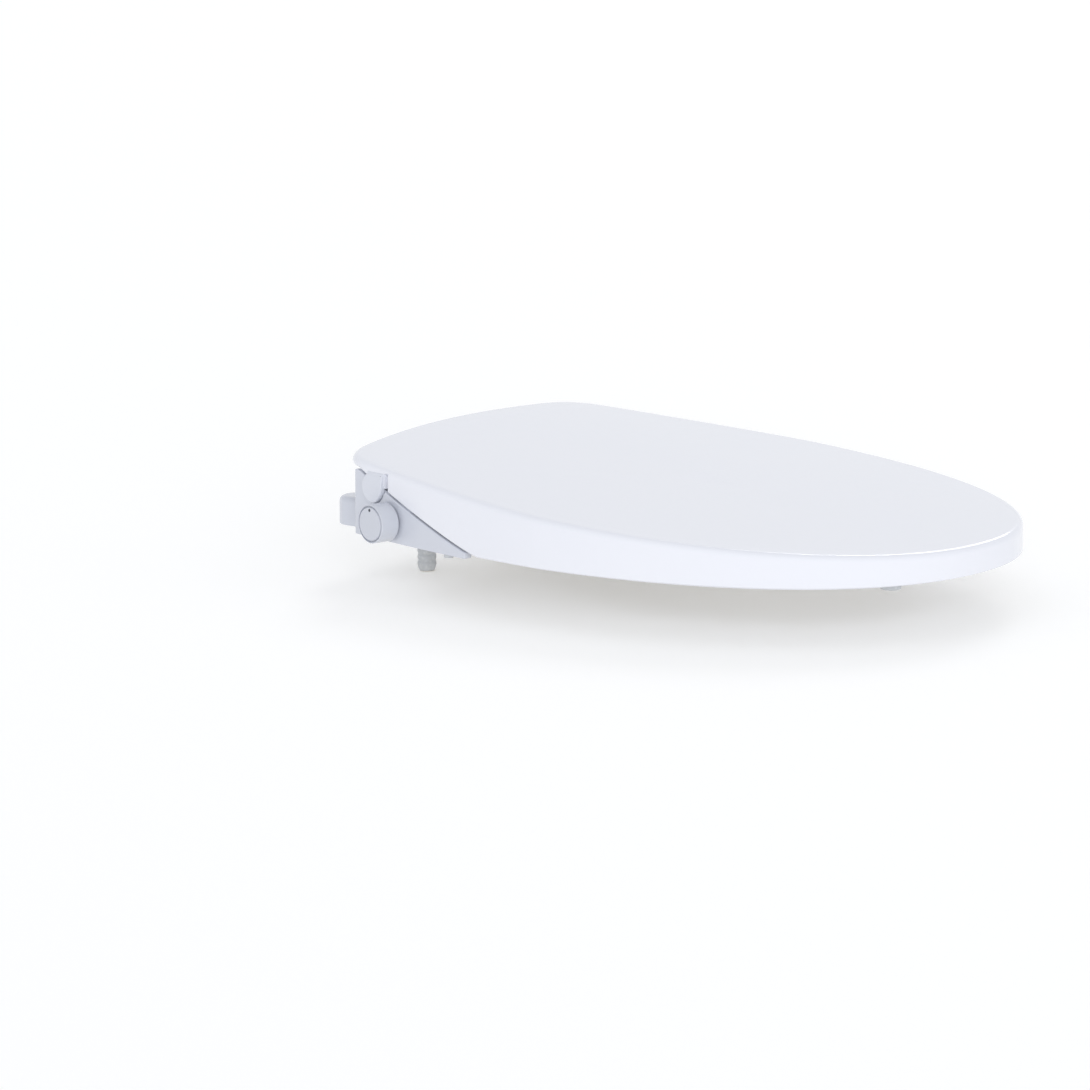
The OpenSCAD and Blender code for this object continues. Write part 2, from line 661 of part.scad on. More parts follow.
// The catch's tooth sits in the plate's pocket until the button moves it aside
tooth = [96, 100, -15.5, -11.5];
catch_z = plate_t + 0.5;
catch_t = 2.4;
catch_y = -36;
catch_w = 5;
catch_end = lid_x(button_y) + tab_x - 0.9;
module release_catch() {
    color(grey) {
        at_button() box(tab_x - tab_t, tab_x, -4, 4, catch_z - button_z, 4);
        at_button() rod_x(2.4, tab_x - tab_t - 2.5, tab_x);
        box(tooth[0], catch_end, catch_y, catch_y + catch_w, catch_z, catch_z + catch_t);
        box(tooth[0], tooth[1], catch_y, tooth[3], catch_z, catch_z + catch_t);
        box(tooth[0], tooth[1], tooth[2], tooth[3], 0.8, catch_z + catch_t);
    }
}
// A coil along +X, closed at both ends
module coil(r, wire, length, turns, steps) {
    n = turns * steps;
    sides = 6;
    polyhedron([for (i = [0:n], k = [0:sides - 1]) let(a = 360 * i / steps, b = 360 * k / sides,
            q = r + wire * cos(b)) [wire * 1.2 + (length - 2.4 * wire) * i / n + wire * sin(b),
            q * cos(a), q * sin(a)]],
        concat([[for (k = [sides - 1:-1:0]) k]],
            [for (i = [0:n - 1], k = [0:sides - 1]) let(a = i * sides, m = (k + 1) % sides)
                [a + k, a + m, a + sides + m, a + sides + k]],
            [[for (k = [0:sides - 1]) n * sides + k]]), convexity = 10);
}
module release_spring() {
    color(steel) at_button() translate([rib_x, 0, 0])
        coil(3.6, spring_wire, tab_x - tab_t - rib_x, 4, 12);
}

// ---- knob and valve ----
neck_r = 7;
valve_pitch = 4.2;  // outlets' distance above and below the knob's axis
spindle_r = 3;
module at_knob() {
    on_wall(-knob_y, -1) translate([0, 0, knob_z]) children();
}
module knob() {
    color(white) at_knob() difference() {
        union() {
            rod_x(knob_r - 0.4, 0.8, 2.4);
            rod_x(knob_r, 2.2, knob_len - 1.2);
            translate([knob_len - 1.2 - tiny, 0, 0]) rotate([0, 90, 0])
                cylinder(r1 = knob_r, r2 = knob_r - 1.2, h = 1.2 + tiny);
        }
        difference() {
            rod_x(knob_r - 1.8, 0, knob_len - 2.2);
            rod_x(spindle_r + 2.2, 0, knob_len);
        }
        rod_x(spindle_r, 0, knob_len - 4);
        translate([0, 0, knob_r - 4]) rod_x(1.1, knob_len - 0.5, knob_len + 1);
    }
}
module knob_dot() {
    color([0.25, 0.27, 0.32]) at_knob() translate([0, 0, knob_r - 4]) rod_x(1.1, knob_len - 0.5, knob_len);
}
// Generic scale marks on the wall behind the knob
module dial_scale() {
    at_knob() for (a = [55, 75, 95, 115]) rotate([a, 0, 0])
        box(-0.4, 0.1, -0.4, 0.4, knob_r + 1.2, knob_r + 3.4);
}
module dial_marks() {
    color(grey) dial_scale();
}
module valve_body() {
    color(grey) at_knob() difference() {
        union() {
            rod_x(valve_r, -wall - 0.4 - valve_len, -wall - 0.4);
            rod_x(neck_r - 0.3, -wall - 0.5, 0.4);
            // inlet barb to the rear, outlet barbs inwards
            translate([-18, 0, 0]) rotate([90, 0, 0]) translate([0, 0, valve_r - 2])
                cylinder(r = inlet_barb_r, h = barb_len + 2);
            for (z = [-valve_pitch, valve_pitch]) translate([0, 0, z])
                rod_x(barb_r, -valve_end - barb_len, -valve_end + 1);
        }
        rod_x(spindle_r + run_gap, -valve_len + 2, 5);
        rod_x(ring_groove_r, -7, -2.6);
        rod_x(ring_groove_r, -valve_len + 5, -valve_len + 9.4);
    }
}
ring_groove_r = 5.4;
o_ring_r = 1.1;
module valve_spindle() {
    color(brass) at_knob() rod_x(spindle_r, -valve_len + 3, knob_len - 4);
}
module valve_o_rings() {
    color(rubber) at_knob() for (x = [-4.8, -valve_len + 7.2]) translate([x, 0, 0]) rotate([0, 90, 0])
        rotate_extrude() translate([spindle_r + 0.08 + o_ring_r, 0]) circle(r = o_ring_r, $fn = 24);
}

// ---- water inlet on the +X side ----
inlet_z = 17.4;
inlet_neck_r = 8;
inlet_tail_r = 3;
inlet_x = lid_x(inlet_y + 8) + 5;
module inlet_fitting() {
    color(steel) translate([0, inlet_y, inlet_z]) difference() {
        union() {
            rod_x(inlet_r, inlet_x, inlet_x + inlet_len);
            rod_x(inlet_neck_r - 0.2, inlet_x - 12, inlet_x + 1);
            rod_x(inlet_neck_r + 2, inlet_x - 12, inlet_x - 9);
            rod_x(inlet_tail_r, inlet_x - 19, inlet_x - 11);
        }
        rod_x(6.6, inlet_x + 1, inlet_x + inlet_len + 1);
        rod_x(1.8, inlet_x - 20, inlet_x + 2);
    }
}
module inlet_washer() {
    color(rubber) translate([0, inlet_y, inlet_z]) difference() {
        rod_x(6.6, inlet_x + 1, inlet_x + 3);
        rod_x(4.6, inlet_x, inlet_x + 4);
    }
}
module inlet_filter() {
    color(steel) translate([0, inlet_y, inlet_z]) difference() {
        rod_x(6.2, inlet_x + 3, inlet_x + 5);
        rod_x(4.4, inlet_x + 3.8, inlet_x + 6);
        for (a = [0:60:300]) rotate([a, 0, 0]) translate([0, 2.6, 0]) rod_x(0.7, inlet_x, inlet_x + 6);
    }
}

// ---- hoses ----
// Points along a smooth curve through the given points
function curve(p, n) = [for (i = [0:len(p) - 2], k = [0:n - 1]) let(t = k / n,
        a = p[max(i - 1, 0)], b = p[i], c = p[i + 1], d = p[min(i + 2, len(p) - 1)])
    0.5 * (2 * b + (c - a) * t + (2 * a - 5 * b + 4 * c - d) * t * t
        + (3 * b - a - 3 * c + d) * t * t * t)];
function unit(v) = v / norm(v);
// A hose with a socket at each end: the path's first and last steps are the sockets' depths
module tube(path, r, socket_a, socket_b) {
    n = len(path);
    sides = 10;
    dirs = [for (i = [0:n - 1]) unit(path[min(i + 1, n - 1)] - path[max(i - 1, 0)])];
    at = concat([1, 0], [for (i = [0:n - 1]) i], [n - 1, n - 2]);
    dir_at = concat([0, 0], [for (i = [0:n - 1]) i], [n - 1, n - 1]);
    size = concat([socket_a, socket_a], [for (i = [0:n - 1]) r], [socket_b, socket_b]);
    m = len(at);
    last = m * sides + 1;
    polyhedron(concat([path[1]],
        [for (j = [0:m - 1], k = [0:sides - 1]) let(d = dirs[dir_at[j]], e = unit(cross(d, [0.02, 0.05, 1])),
                a = 360 * k / sides, q = j < 2 || j > m - 3 ? size[j] / cos(180 / sides) : size[j])
            path[at[j]] + q * (cos(a) * e + sin(a) * cross(d, e))], [path[n - 2]]),
        concat([for (k = [0:sides - 1]) [0, 1 + k, 1 + (k + 1) % sides]],
            [for (j = [0:m - 2], k = [0:sides - 1]) let(a = 1 + j * sides, l = (k + 1) % sides)
                [a + k, a + sides + k, a + sides + l, a + l]],
            [for (k = [0:sides - 1]) [last, last - sides + (k + 1) % sides, last - sides + k]]),
        convexity = 10);
}
hose_r = 2.8;
barb_r = 1.6;
inlet_barb_r = 2.6;

// ---- nozzles ----
// Local frame: +X along the nozzle, pointing down and forward, from the rear end of its bore
nozzle_y = 0;
nozzle_z = 24.7;
bore_len = 45.3;
cap_t = 3.4;
nozzle_block_x = nozzle_pitch / 2 + cylinder_r + 1.6;
cap_side = nozzle_block_x;
module at_nozzle(side) {
    translate([side * nozzle_pitch / 2, nozzle_y, nozzle_z]) rotate([nozzle_tilt, 0, 0])
        rotate([0, 0, -90]) children();
}
module nozzle_cylinders() {
    color(grey) difference() {
        union() {
            for (s = [-1, 1]) at_nozzle(s) rod_x(cylinder_r + 1.6, 0, bore_len);
            translate([0, nozzle_y, nozzle_z]) rotate([nozzle_tilt, 0, 0])
                box(-nozzle_pitch / 2, nozzle_pitch / 2, -bore_len, 0, -2, 2);
            along_x(-nozzle_pitch / 2 - 2, nozzle_pitch / 2 + 2) polygon([[-26, plate_t + tray_t],
                [-6, plate_t + tray_t], [-6, 17], [-26, 10]]);
        }
        for (s = [-1, 1]) at_nozzle(s) {
            rod_x(cylinder_r, -1, bore_len - 4);
            rod_x(nozzle_r + run_gap, 0, bore_len + 1);
        }
    }
}
barb_len = 6;
riser_z = 35.5;
riser_r = 2.6;
function cap_mid() = nozzle_point(1, -cap_t / 2);
module cylinder_cap() {
    mid = cap_mid();
    color(grey) difference() {
        union() {
            for (s = [-1, 1]) at_nozzle(s) rod_x(cylinder_r + 1.6, -cap_t, 0);
            translate([0, nozzle_y, nozzle_z]) rotate([nozzle_tilt, 0, 0])
                box(-nozzle_pitch / 2, nozzle_pitch / 2, 0, cap_t, -2, 2);
            translate([0, mid[1], mid[2]]) rod_x(barb_r, -cap_side - barb_len, -nozzle_pitch / 2);
            // riser of the front nozzle's inlet, over the rear nozzle
            translate([nozzle_pitch / 2, mid[1], mid[2] + 3])
                cylinder(r = riser_r, h = riser_z + riser_r - mid[2] - 3);
            translate([0, mid[1], riser_z])
                rod_x(barb_r, nozzle_pitch / 2 - riser_r - barb_len, nozzle_pitch / 2);
        }
        // water ways, from each barb into its bore
        for (s = [-1, 1]) at_nozzle(s) rod_x(1.1, -2.3, 1);
        translate([0, mid[1], mid[2]]) rod_x(0.8, -cap_side - barb_len - 1, -nozzle_pitch / 2);
        translate([nozzle_pitch / 2, mid[1], mid[2]]) cylinder(r = 0.95, h = riser_z - mid[2] + 1);
        translate([0, mid[1], riser_z]) rod_x(0.75, -barb_len, nozzle_pitch / 2);
    }
}
piston_len = 5;
seal_r = 0.8;
module nozzle(side, jets) {
    color(white) at_nozzle(side) difference() {
        union() {
            rod_x(nozzle_r, 0.5, nozzle_len - 1);
            rod_x(cylinder_r - 0.25, 0.5, 0.5 + piston_len);
            translate([nozzle_len - 1 - tiny, 0, 0]) rotate([0, 90, 0])
                cylinder(r1 = nozzle_r, r2 = nozzle_r - 1, h = 1 + tiny);
        }
        rod_x(1.6, 0, nozzle_len - 5);
        for (j = jets) translate([nozzle_len - 6 - j, 0, 0]) cylinder(r = 0.6, h = nozzle_r + 1);
        // groove of the piston seal
        difference() {
            rod_x(cylinder_r + 1, 2, 2 + 2 * seal_r + 0.2);
            rod_x(cylinder_r - 0.1 - 2 * seal_r - 0.05, 1, 5);
        }
    }
}
module rear_nozzle() {
    nozzle(-1, [0]);
}
module front_nozzle() {
    nozzle(1, [-1.5, 1.5, 4.5]);
}
module piston_seal(side) {
    color(rubber) at_nozzle(side) translate([2.1 + seal_r, 0, 0]) rotate([0, 90, 0]) rotate_extrude()
        translate([cylinder_r - 0.1 - seal_r, 0]) circle(r = seal_r, $fn = 24);
}
module rear_piston_seal() {
    piston_seal(-1);
}
module front_piston_seal() {
    piston_seal(1);
}
module return_spring(side) {
    color(steel) at_nozzle(side) translate([0.6 + piston_len, 0, 0])
        coil((nozzle_r + cylinder_r) / 2, 0.35, bore_len - 4.8 - piston_len, 9, 9);
}
module rear_return_spring() {
    return_spring(-1);
}
module front_return_spring() {
    return_spring(1);
}

// ---- hose routes, from barb to barb ----
valve_end = wall + 0.4 + valve_len;
barb_gap = 0.04;
seat_gap = 0.2;     // between a hose's end and the shoulder of its barb
hose_x = lid_x(-knob_y) - 60.5; // first bend of the wash hoses
function wall_point(y, side, along, z) = let(a = wall_turn(y))
    [side * (lid_x(y) + along * cos(a)), y + along * sin(a), z];
function nozzle_point(side, s) = [side * nozzle_pitch / 2, nozzle_y - s * cos(nozzle_tilt),
    nozzle_z - s * sin(nozzle_tilt)];
// From the barb at to, which points along -X, through the points of mid to the valve's outlet
module wash_hose(to, z, mid) {
    from = wall_point(-knob_y, -1, -valve_end - seat_gap, z);
    run = wall_point(-knob_y, -1, -valve_end - barb_len, z);
    past = wall_point(-knob_y, -1, -valve_end - barb_len - 2, z);
    color(grey) tube(concat([from, run], curve(concat([past], mid, [to - [barb_len + 2, 0, 0]]), 5),
        [to - [barb_len + 2, 0, 0], to - [barb_len, 0, 0], to - [seat_gap, 0, 0]]),
        hose_r, barb_r + barb_gap, barb_r + barb_gap);
}
module rear_hose() {
    wash_hose([-cap_side, cap_mid()[1], cap_mid()[2]], knob_z - valve_pitch,
        [[-hose_x, -33, 15.5], [20 - hose_x, -18, 18.5], [46 - hose_x, -3, 21]]);
}
module front_hose() {
    wash_hose([nozzle_pitch / 2 - riser_r, cap_mid()[1], riser_z], knob_z + valve_pitch,
        [[-hose_x, -33, 24], [20 - hose_x, -18, 27], [38 - hose_x, -8, 28], [-40, -1, 33]]);
}
run_y = foot_reach - 13.6; // the inlet hose's way along the foot
run_z = 9.2;
module inlet_hose() {
    at = wall_point(-knob_y, -1, -18, knob_z);
    back = [sin(wall_turn(-knob_y)), cos(wall_turn(-knob_y)), 0];
    first = [inlet_x - 12 - seat_gap, inlet_y, inlet_z];
    end = at + back * (valve_r + barb_len + 2);
    color(grey) tube(concat([first, first - [7, 0, 0]], curve([first - [9, 0, 0],
            [foot_half - 5, 2, 14], [foot_half - 9, body_rear - 2, run_z + 0.4],
            [foot_half - 11, run_y - 8.4, run_z], [foot_half - 24, run_y + 1.6, run_z],
            [60, run_y, run_z], [0, run_y, run_z], [-60, run_y, run_z],
            [24 - foot_half, run_y + 1.6, run_z], [11 - foot_half, run_y - 8.4, run_z],
            [8 - foot_half, body_rear - 1, run_z + 0.2], [-foot_half, 0, 13], end], 4),
        [end, at + back * (valve_r + barb_len), at + back * (valve_r + seat_gap)]),
        hose_r + 0.9, inlet_tail_r + barb_gap, inlet_barb_r + barb_gap);
}

// ---- nozzle guard ----
guard_pin_y = -74.5;
guard_pin_z = 7.7;
guard_pin_r = 1.2;
guard_r = 2.1;
guard_t = 1.8;
guard_x = nose_x - wall - 0.4;
module nozzle_guard() {
    color(white) difference() {
        union() {
            translate([0, guard_pin_y, guard_pin_z]) rod_x(guard_r, -guard_x, guard_x);
            box(-guard_x, guard_x, guard_pin_y - guard_r, guard_pin_y - guard_r + guard_t,
                -12, guard_pin_z);
        }
        translate([0, guard_pin_y, guard_pin_z]) rod_x(guard_pin_r + run_gap, -guard_x - 1, guard_x + 1);
        // arches that the nozzles pass through
        for (s = [-1, 1]) {
            translate([s * nozzle_pitch / 2, -70, -5]) rotate([90, 0, 0]) cylinder(r = nozzle_r + 2, h = 12);
            box(s * nozzle_pitch / 2 - nozzle_r - 2, s * nozzle_pitch / 2 + nozzle_r + 2, -82, -70, -20, -5);
        }
    }
}
module guard_pin() {
    color(steel) translate([0, guard_pin_y, guard_pin_z]) rod_x(guard_pin_r, -nose_x, nose_x);
}

lid();
lid_ear_caps();
lid_bumpers();
lid_shaft();
seat_ring();
seat_bumpers();
seat_shaft();
base_cover();
base_bottom();
case_screws();
base_pads();
lid_damper();
seat_damper();
mounting_plate();
plate_adjusters();
fixing_bolts();
rubber_plugs();
plug_nuts();
release_button();
release_catch();
release_spring();
knob();
knob_dot();
dial_marks();
valve_body();
valve_spindle();
valve_o_rings();
inlet_fitting();
inlet_washer();
inlet_filter();
inlet_hose();
rear_hose();
front_hose();
nozzle_cylinders();
cylinder_cap();
rear_nozzle();
front_nozzle();
rear_piston_seal();
front_piston_seal();
rear_return_spring();
front_return_spring();
nozzle_guard();
guard_pin();
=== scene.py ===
# %% [markdown]
# # A slim bidet seat worked by water pressure
# The seat is a handful of glossy white plastic shells over a water valve and two wash nozzles.
# The frame brings every piece at its true size and place. This lesson gives the shells their
# moulded roundings, the small parts their detail, and every surface its finish.
# Sizes are in millimetres here, and become metres where a mesh is made.

# %% Load the frame
import bpy
import json
import numpy as np
from math import cos, pi, radians, sin
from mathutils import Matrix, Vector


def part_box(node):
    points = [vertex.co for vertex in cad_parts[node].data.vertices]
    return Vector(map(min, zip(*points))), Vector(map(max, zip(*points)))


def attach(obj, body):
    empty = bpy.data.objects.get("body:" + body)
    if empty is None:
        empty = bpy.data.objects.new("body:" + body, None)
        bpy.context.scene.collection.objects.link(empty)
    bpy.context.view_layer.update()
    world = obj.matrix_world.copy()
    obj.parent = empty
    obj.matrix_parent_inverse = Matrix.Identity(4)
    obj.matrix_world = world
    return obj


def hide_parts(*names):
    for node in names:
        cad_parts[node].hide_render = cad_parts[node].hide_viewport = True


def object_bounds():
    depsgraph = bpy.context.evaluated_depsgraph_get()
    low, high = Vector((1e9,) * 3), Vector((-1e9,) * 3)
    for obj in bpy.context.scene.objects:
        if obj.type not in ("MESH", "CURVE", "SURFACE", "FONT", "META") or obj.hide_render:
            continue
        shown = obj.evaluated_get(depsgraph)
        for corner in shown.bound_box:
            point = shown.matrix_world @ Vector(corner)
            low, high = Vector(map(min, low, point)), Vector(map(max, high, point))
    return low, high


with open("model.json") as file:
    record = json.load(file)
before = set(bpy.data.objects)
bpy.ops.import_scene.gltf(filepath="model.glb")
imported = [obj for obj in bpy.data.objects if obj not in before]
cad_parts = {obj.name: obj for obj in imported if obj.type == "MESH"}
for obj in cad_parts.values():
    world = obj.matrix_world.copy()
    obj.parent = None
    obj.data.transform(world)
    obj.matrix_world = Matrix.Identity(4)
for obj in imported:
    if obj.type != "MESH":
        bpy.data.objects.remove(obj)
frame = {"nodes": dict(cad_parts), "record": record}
cad_low, cad_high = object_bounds()
MM = 0.001


def box_mm(node):
    """The lowest and highest corner of a CAD node, in millimetres."""
    low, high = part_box(node)
    return np.array(low) / MM, np.array(high) / MM


# %% [markdown]
# ## The camera
# The seat is seen from the sitter's right and a little above, from far away, so that its long
# sides hardly converge. A long lens gives that view. The camera comes first, because every
# later choice is judged through it.

# %% Place the camera
LOOK_AT = np.array([-0.0879, -0.1159, 0.0])            # metres
AZIMUTH, ELEVATION = radians(-53.5), radians(11.3)
DISTANCE, FAR = 4.71, 60                               # metres
LENS, SENSOR = 214.7, 36                               # millimetres
towards = np.array([sin(AZIMUTH) * cos(ELEVATION), -cos(AZIMUTH) * cos(ELEVATION), sin(ELEVATION)])
camera = bpy.data.objects.new("camera", bpy.data.cameras.new("camera"))
camera.data.lens = LENS
camera.data.sensor_width = SENSOR
camera.data.clip_end = FAR
camera.location = LOOK_AT + DISTANCE * towards
camera.rotation_euler = (pi / 2 - ELEVATION, 0, AZIMUTH)
bpy.context.collection.objects.link(camera)
bpy.context.scene.camera = camera
print("camera at", [round(float(v), 2) for v in camera.location])

# %% [markdown]
# ## Shader sums
# A finish is easier to read as sums than as a web of nodes. Value wraps one number of a node
# tree, so that adding or multiplying two of them adds the Math node that does it.

# %% Wrap a number of a node tree
class Value:
    """One number in a material's node tree; sums and products of it add Math nodes."""

    def __init__(self, finish, socket):
        self.finish, self.socket = finish, socket

    def maths(self, operation, other):
        """This number and another one joined by a Math node."""
        return self.finish.add("ShaderNodeMath", {"operation": operation}, {0: self, 1: other})

    def __add__(self, other):
        return self.maths("ADD", other)

    def __mul__(self, other):
        return self.maths("MULTIPLY", other)

    __radd__ = __add__
    __rmul__ = __mul__

    def above(self, low, high):
        """0 below low, 1 above high, and smooth between."""
        return self.finish.add("ShaderNodeMapRange", {"interpolation_type": "SMOOTHSTEP"},
                               {0: self, 1: low, 2: high})


tricks = [name.strip("_") for name, member in vars(Value).items() if callable(member)]
print("a Value can:", ", ".join(tricks))

# %% [markdown]
# ## Finishes
# Every finish is a material round one Principled shader. Finish feeds its sockets with numbers,
# colours or Values, and its add method makes any other node. Noise and bump are all that these
# plain plastics, rubbers and metals need beside it.

# %% Make a material round one shader
class Finish:
    """A material with one Principled shader, whose sockets take numbers, colours or Values."""

    def __init__(self, name, **sockets):
        self.material = bpy.data.materials.new(name)
        self.material.use_nodes = True
        self.tree = self.material.node_tree
        self.tree.nodes.clear()
        output = self.tree.nodes.new("ShaderNodeOutputMaterial")
        self.shader = self.tree.nodes.new("ShaderNodeBsdfPrincipled")
        self.tree.links.new(self.shader.outputs[0], output.inputs[0])
        self.set(**sockets)

    def feed(self, socket, value):
        """Links a Value to a socket, or sets the socket to a colour or a number."""
        if isinstance(value, Value):
            self.tree.links.new(value.socket, socket)
        elif isinstance(value, tuple) and len(value) == 3 and len(socket.default_value) == 4:
            socket.default_value = (*value, 1)
        else:
            socket.default_value = value

    def add(self, kind, settings, values, output=0):
        """A node of a kind, with its settings first, then its sockets; gives one output."""
        node = self.tree.nodes.new(kind)
        for key, value in settings.items():
            setattr(node, key, value)
        for key, value in values.items():
            self.feed(node.inputs[key], value)
        return Value(self, node.outputs[output])

    def set(self, **sockets):
        """Feeds the shader's own sockets, named with _ for each space."""
        for name, value in sockets.items():
            self.feed(self.shader.inputs[name.replace("_", " ")], value)

    def place(self, stretch=(1, 1, 1)):
        """Where a point lies on the piece, in metres, with each axis stretched."""
        here = self.add("ShaderNodeTexCoord", {}, {}, "Object")
        return self.add("ShaderNodeMapping", {}, {"Vector": here, "Scale": stretch})

    def noise(self, scale, detail=2.0, stretch=(1, 1, 1)):
        """Cloudy noise from 0 to 1, with scale clouds a metre."""
        return self.add("ShaderNodeTexNoise", {},
                        {"Vector": self.place(stretch), "Scale": scale, "Detail": detail}, "Fac")

    def mix(self, share, first, second):
        """The first colour where share is 0, and the second where it is 1."""
        node = {0: share, 6: first, 7: second}
        return self.add("ShaderNodeMix", {"data_type": "RGBA"}, node, 2)

    def bump(self, height, depth):
        """Raises the surface by height times depth, in metres."""
        self.set(Normal=self.add("ShaderNodeBump", {}, {"Distance": depth, "Height": height}))


print("a Finish can:", ", ".join(name for name in vars(Finish) if name[0] != "_"))

# %% [markdown]
# ## Moulded plastics
# The shells are injection moulded in a cool white and polished. A polished mould is never quite
# even: the gloss is a little cloudy over a hand's breadth, and the skin has a very shallow
# orange peel of one to four millimetres. Both are noise of that size, fed to roughness and to
# bump. The housing, the ears and the knob lie in the lid's lee, so each gets a copy, a little
# rougher, whose greyer colour is painted shade.

# %% Mix the plastics
MICRON = 0.000001     # in metres
PLASTIC_IOR = 1.49
CLOUDS, FINE, PEEL, WIDE_PEEL = 9.0, 160, 700, 230      # patches in a metre


def moulded(name, colour, shade, rough, peel, cloud=CLOUDS):
    """Colour drifts to a shade; roughness is rough plus two noises; the peel is in microns."""
    finish = Finish(name, IOR=PLASTIC_IOR)
    clouds = finish.noise(cloud, 3)
    fine = finish.noise(FINE, 2)
    finish.set(Base_Color=finish.mix(clouds.above(0.3, 0.75), colour, shade),
               Roughness=rough + 0.07 * clouds + 0.04 * fine)
    finish.bump(finish.noise(PEEL, 1) + 0.6 * finish.noise(WIDE_PEEL, 1), peel * MICRON)
    return finish


finishes = {
    "white_gloss": moulded(
        "white gloss plastic", (0.856, 0.868, 0.922), (0.842, 0.856, 0.914), 0.13, 12),
    # Painted shade: the next three colours are greyed for the lid's lee.
    "housing_painted_shade": moulded(
        "housing plastic with painted shade", (0.655, 0.678, 0.745), (0.642, 0.665, 0.732), 0.2, 3),
    "ear_painted_shade": moulded(
        "ear plastic with painted shade", (0.72, 0.742, 0.808), (0.705, 0.727, 0.793), 0.2, 3),
    "knob_painted_shade": moulded(
        "knob plastic with painted shade", (0.615, 0.637, 0.7), (0.6, 0.622, 0.685), 0.2, 8),
    "nozzle_white": moulded(
        "nozzle plastic", (0.8, 0.81, 0.84), (0.77, 0.785, 0.82), 0.24, 12),
    "grey_plastic": moulded(
        "grey plastic", (0.43, 0.45, 0.49), (0.39, 0.41, 0.45), 0.42, 30, 30),
    "dark_mark": moulded(
        "dark mark", (0.05, 0.055, 0.075), (0.04, 0.045, 0.06), 0.4, 10, 90),
}
for polished in ("white_gloss", "housing_painted_shade", "ear_painted_shade", "knob_painted_shade", "nozzle_white"):
    finishes[polished].set(Coat_Weight=0.35, Coat_Roughness=0.06)
# These nodes take the copies whose colour has painted shade.
painted_shade_finish = {"base_cover": "housing_painted_shade", "lid_ear_caps": "ear_painted_shade", "knob": "knob_painted_shade"}
print("plastics:", ", ".join(finishes))

# %% [markdown]
# ## Rubber and hose
# Rubber is matt and takes up a little dust, and silicone hose is milky and satin. Dust could be
# painted on, but a fine noise between two colours puts it everywhere alike.

# %% Mix the rubbers
GRAIN = 420           # grains in a metre


def rubbery(name, colour, dust, rough):
    """Matt rubber with pale dust in a fine grain; the grain also roughens and raises it."""
    finish = Finish(name, IOR=1.5)
    grain = finish.noise(GRAIN, 3)
    finish.set(Base_Color=finish.mix(grain.above(0.45, 0.8), colour, dust),
               Roughness=rough + 0.12 * grain)
    finish.bump(grain, 40 * MICRON)
    return finish


finishes.update({
    "soft_rubber": rubbery("soft grey rubber", (0.56, 0.58, 0.6), (0.66, 0.67, 0.68), 0.55),
    "seal_rubber": rubbery("black seal rubber", (0.02, 0.02, 0.022), (0.06, 0.06, 0.06), 0.5),
    "hose": rubbery("milky silicone", (0.66, 0.68, 0.7), (0.72, 0.73, 0.74), 0.32),
})
print("with rubbers:", len(finishes))

# %% [markdown]
# ## Steel, chrome and brass
# Turned and drawn metal has fine lines along one direction. An image could show them, but it
# would have to be wrapped round each piece. Noise that is stretched along that direction fits
# any shape.

# %% Mix the metals
TOOL_LINES, PATCHES = 900, 70           # in a metre


def metallic(name, colour, tarnish, rough, stretch):
    """Metal with fine tool lines across the stretched axis and a faint uneven tarnish."""
    finish = Finish(name, Metallic=1.0)
    lines = finish.noise(TOOL_LINES, 2, stretch)
    patches = finish.noise(PATCHES, 3)
    finish.set(Base_Color=finish.mix(patches.above(0.35, 0.8), colour, tarnish),
               Roughness=rough + 0.14 * lines + 0.06 * patches)
    finish.bump(lines, 8 * MICRON)
    return finish


finishes.update({
    "stainless": metallic(
        "stainless steel", (0.56, 0.57, 0.58), (0.48, 0.48, 0.49), 0.24, (0.04, 1, 1)),
    "chromed": metallic(
        "chromed brass", (0.72, 0.73, 0.75), (0.62, 0.63, 0.65), 0.08, (0.1, 1, 1)),
    "brass": metallic(
        "turned brass", (0.6, 0.42, 0.16), (0.46, 0.31, 0.12), 0.26, (1, 1, 0.05)),
})
print("with metals:", len(finishes))

# %% [markdown]
# ## Every CAD node gets a finish
# The record names a material slot for each node. Most finishes have the name of a slot, and the
# few nodes whose copy has painted shade in its colour are looked up first.

# %% Give every CAD node its finish
slots = {part["node"]: part["material_slot"] for part in frame["record"]["subparts"]}


def finish_of(node):
    """The material of a node: its copy with painted shade, or the one that its slot names."""
    return finishes[painted_shade_finish.get(node, slots[node])].material


for name, node in frame["nodes"].items():
    node.data.materials.clear()
    node.data.materials.append(finish_of(name))
print("dressed nodes:", len(frame["nodes"]))

# %% [markdown]
# ## From rings of points to a mesh
# Nearly every moulded piece is a stack of rings: a closed outline that is inset, lifted and
# lowered step by step, so that edges come out rounded. loft joins such rings into a skin. It
# closes both ends with a fan of triangles, or with one flat face where the ring has a hollow
# side that a fan would spill over, or it joins the last ring to the first. The sign of the
# volume inside tells whether the faces look outwards. Subdivided boxes would be quicker to
# draw, but their edges would be equally soft everywhere.

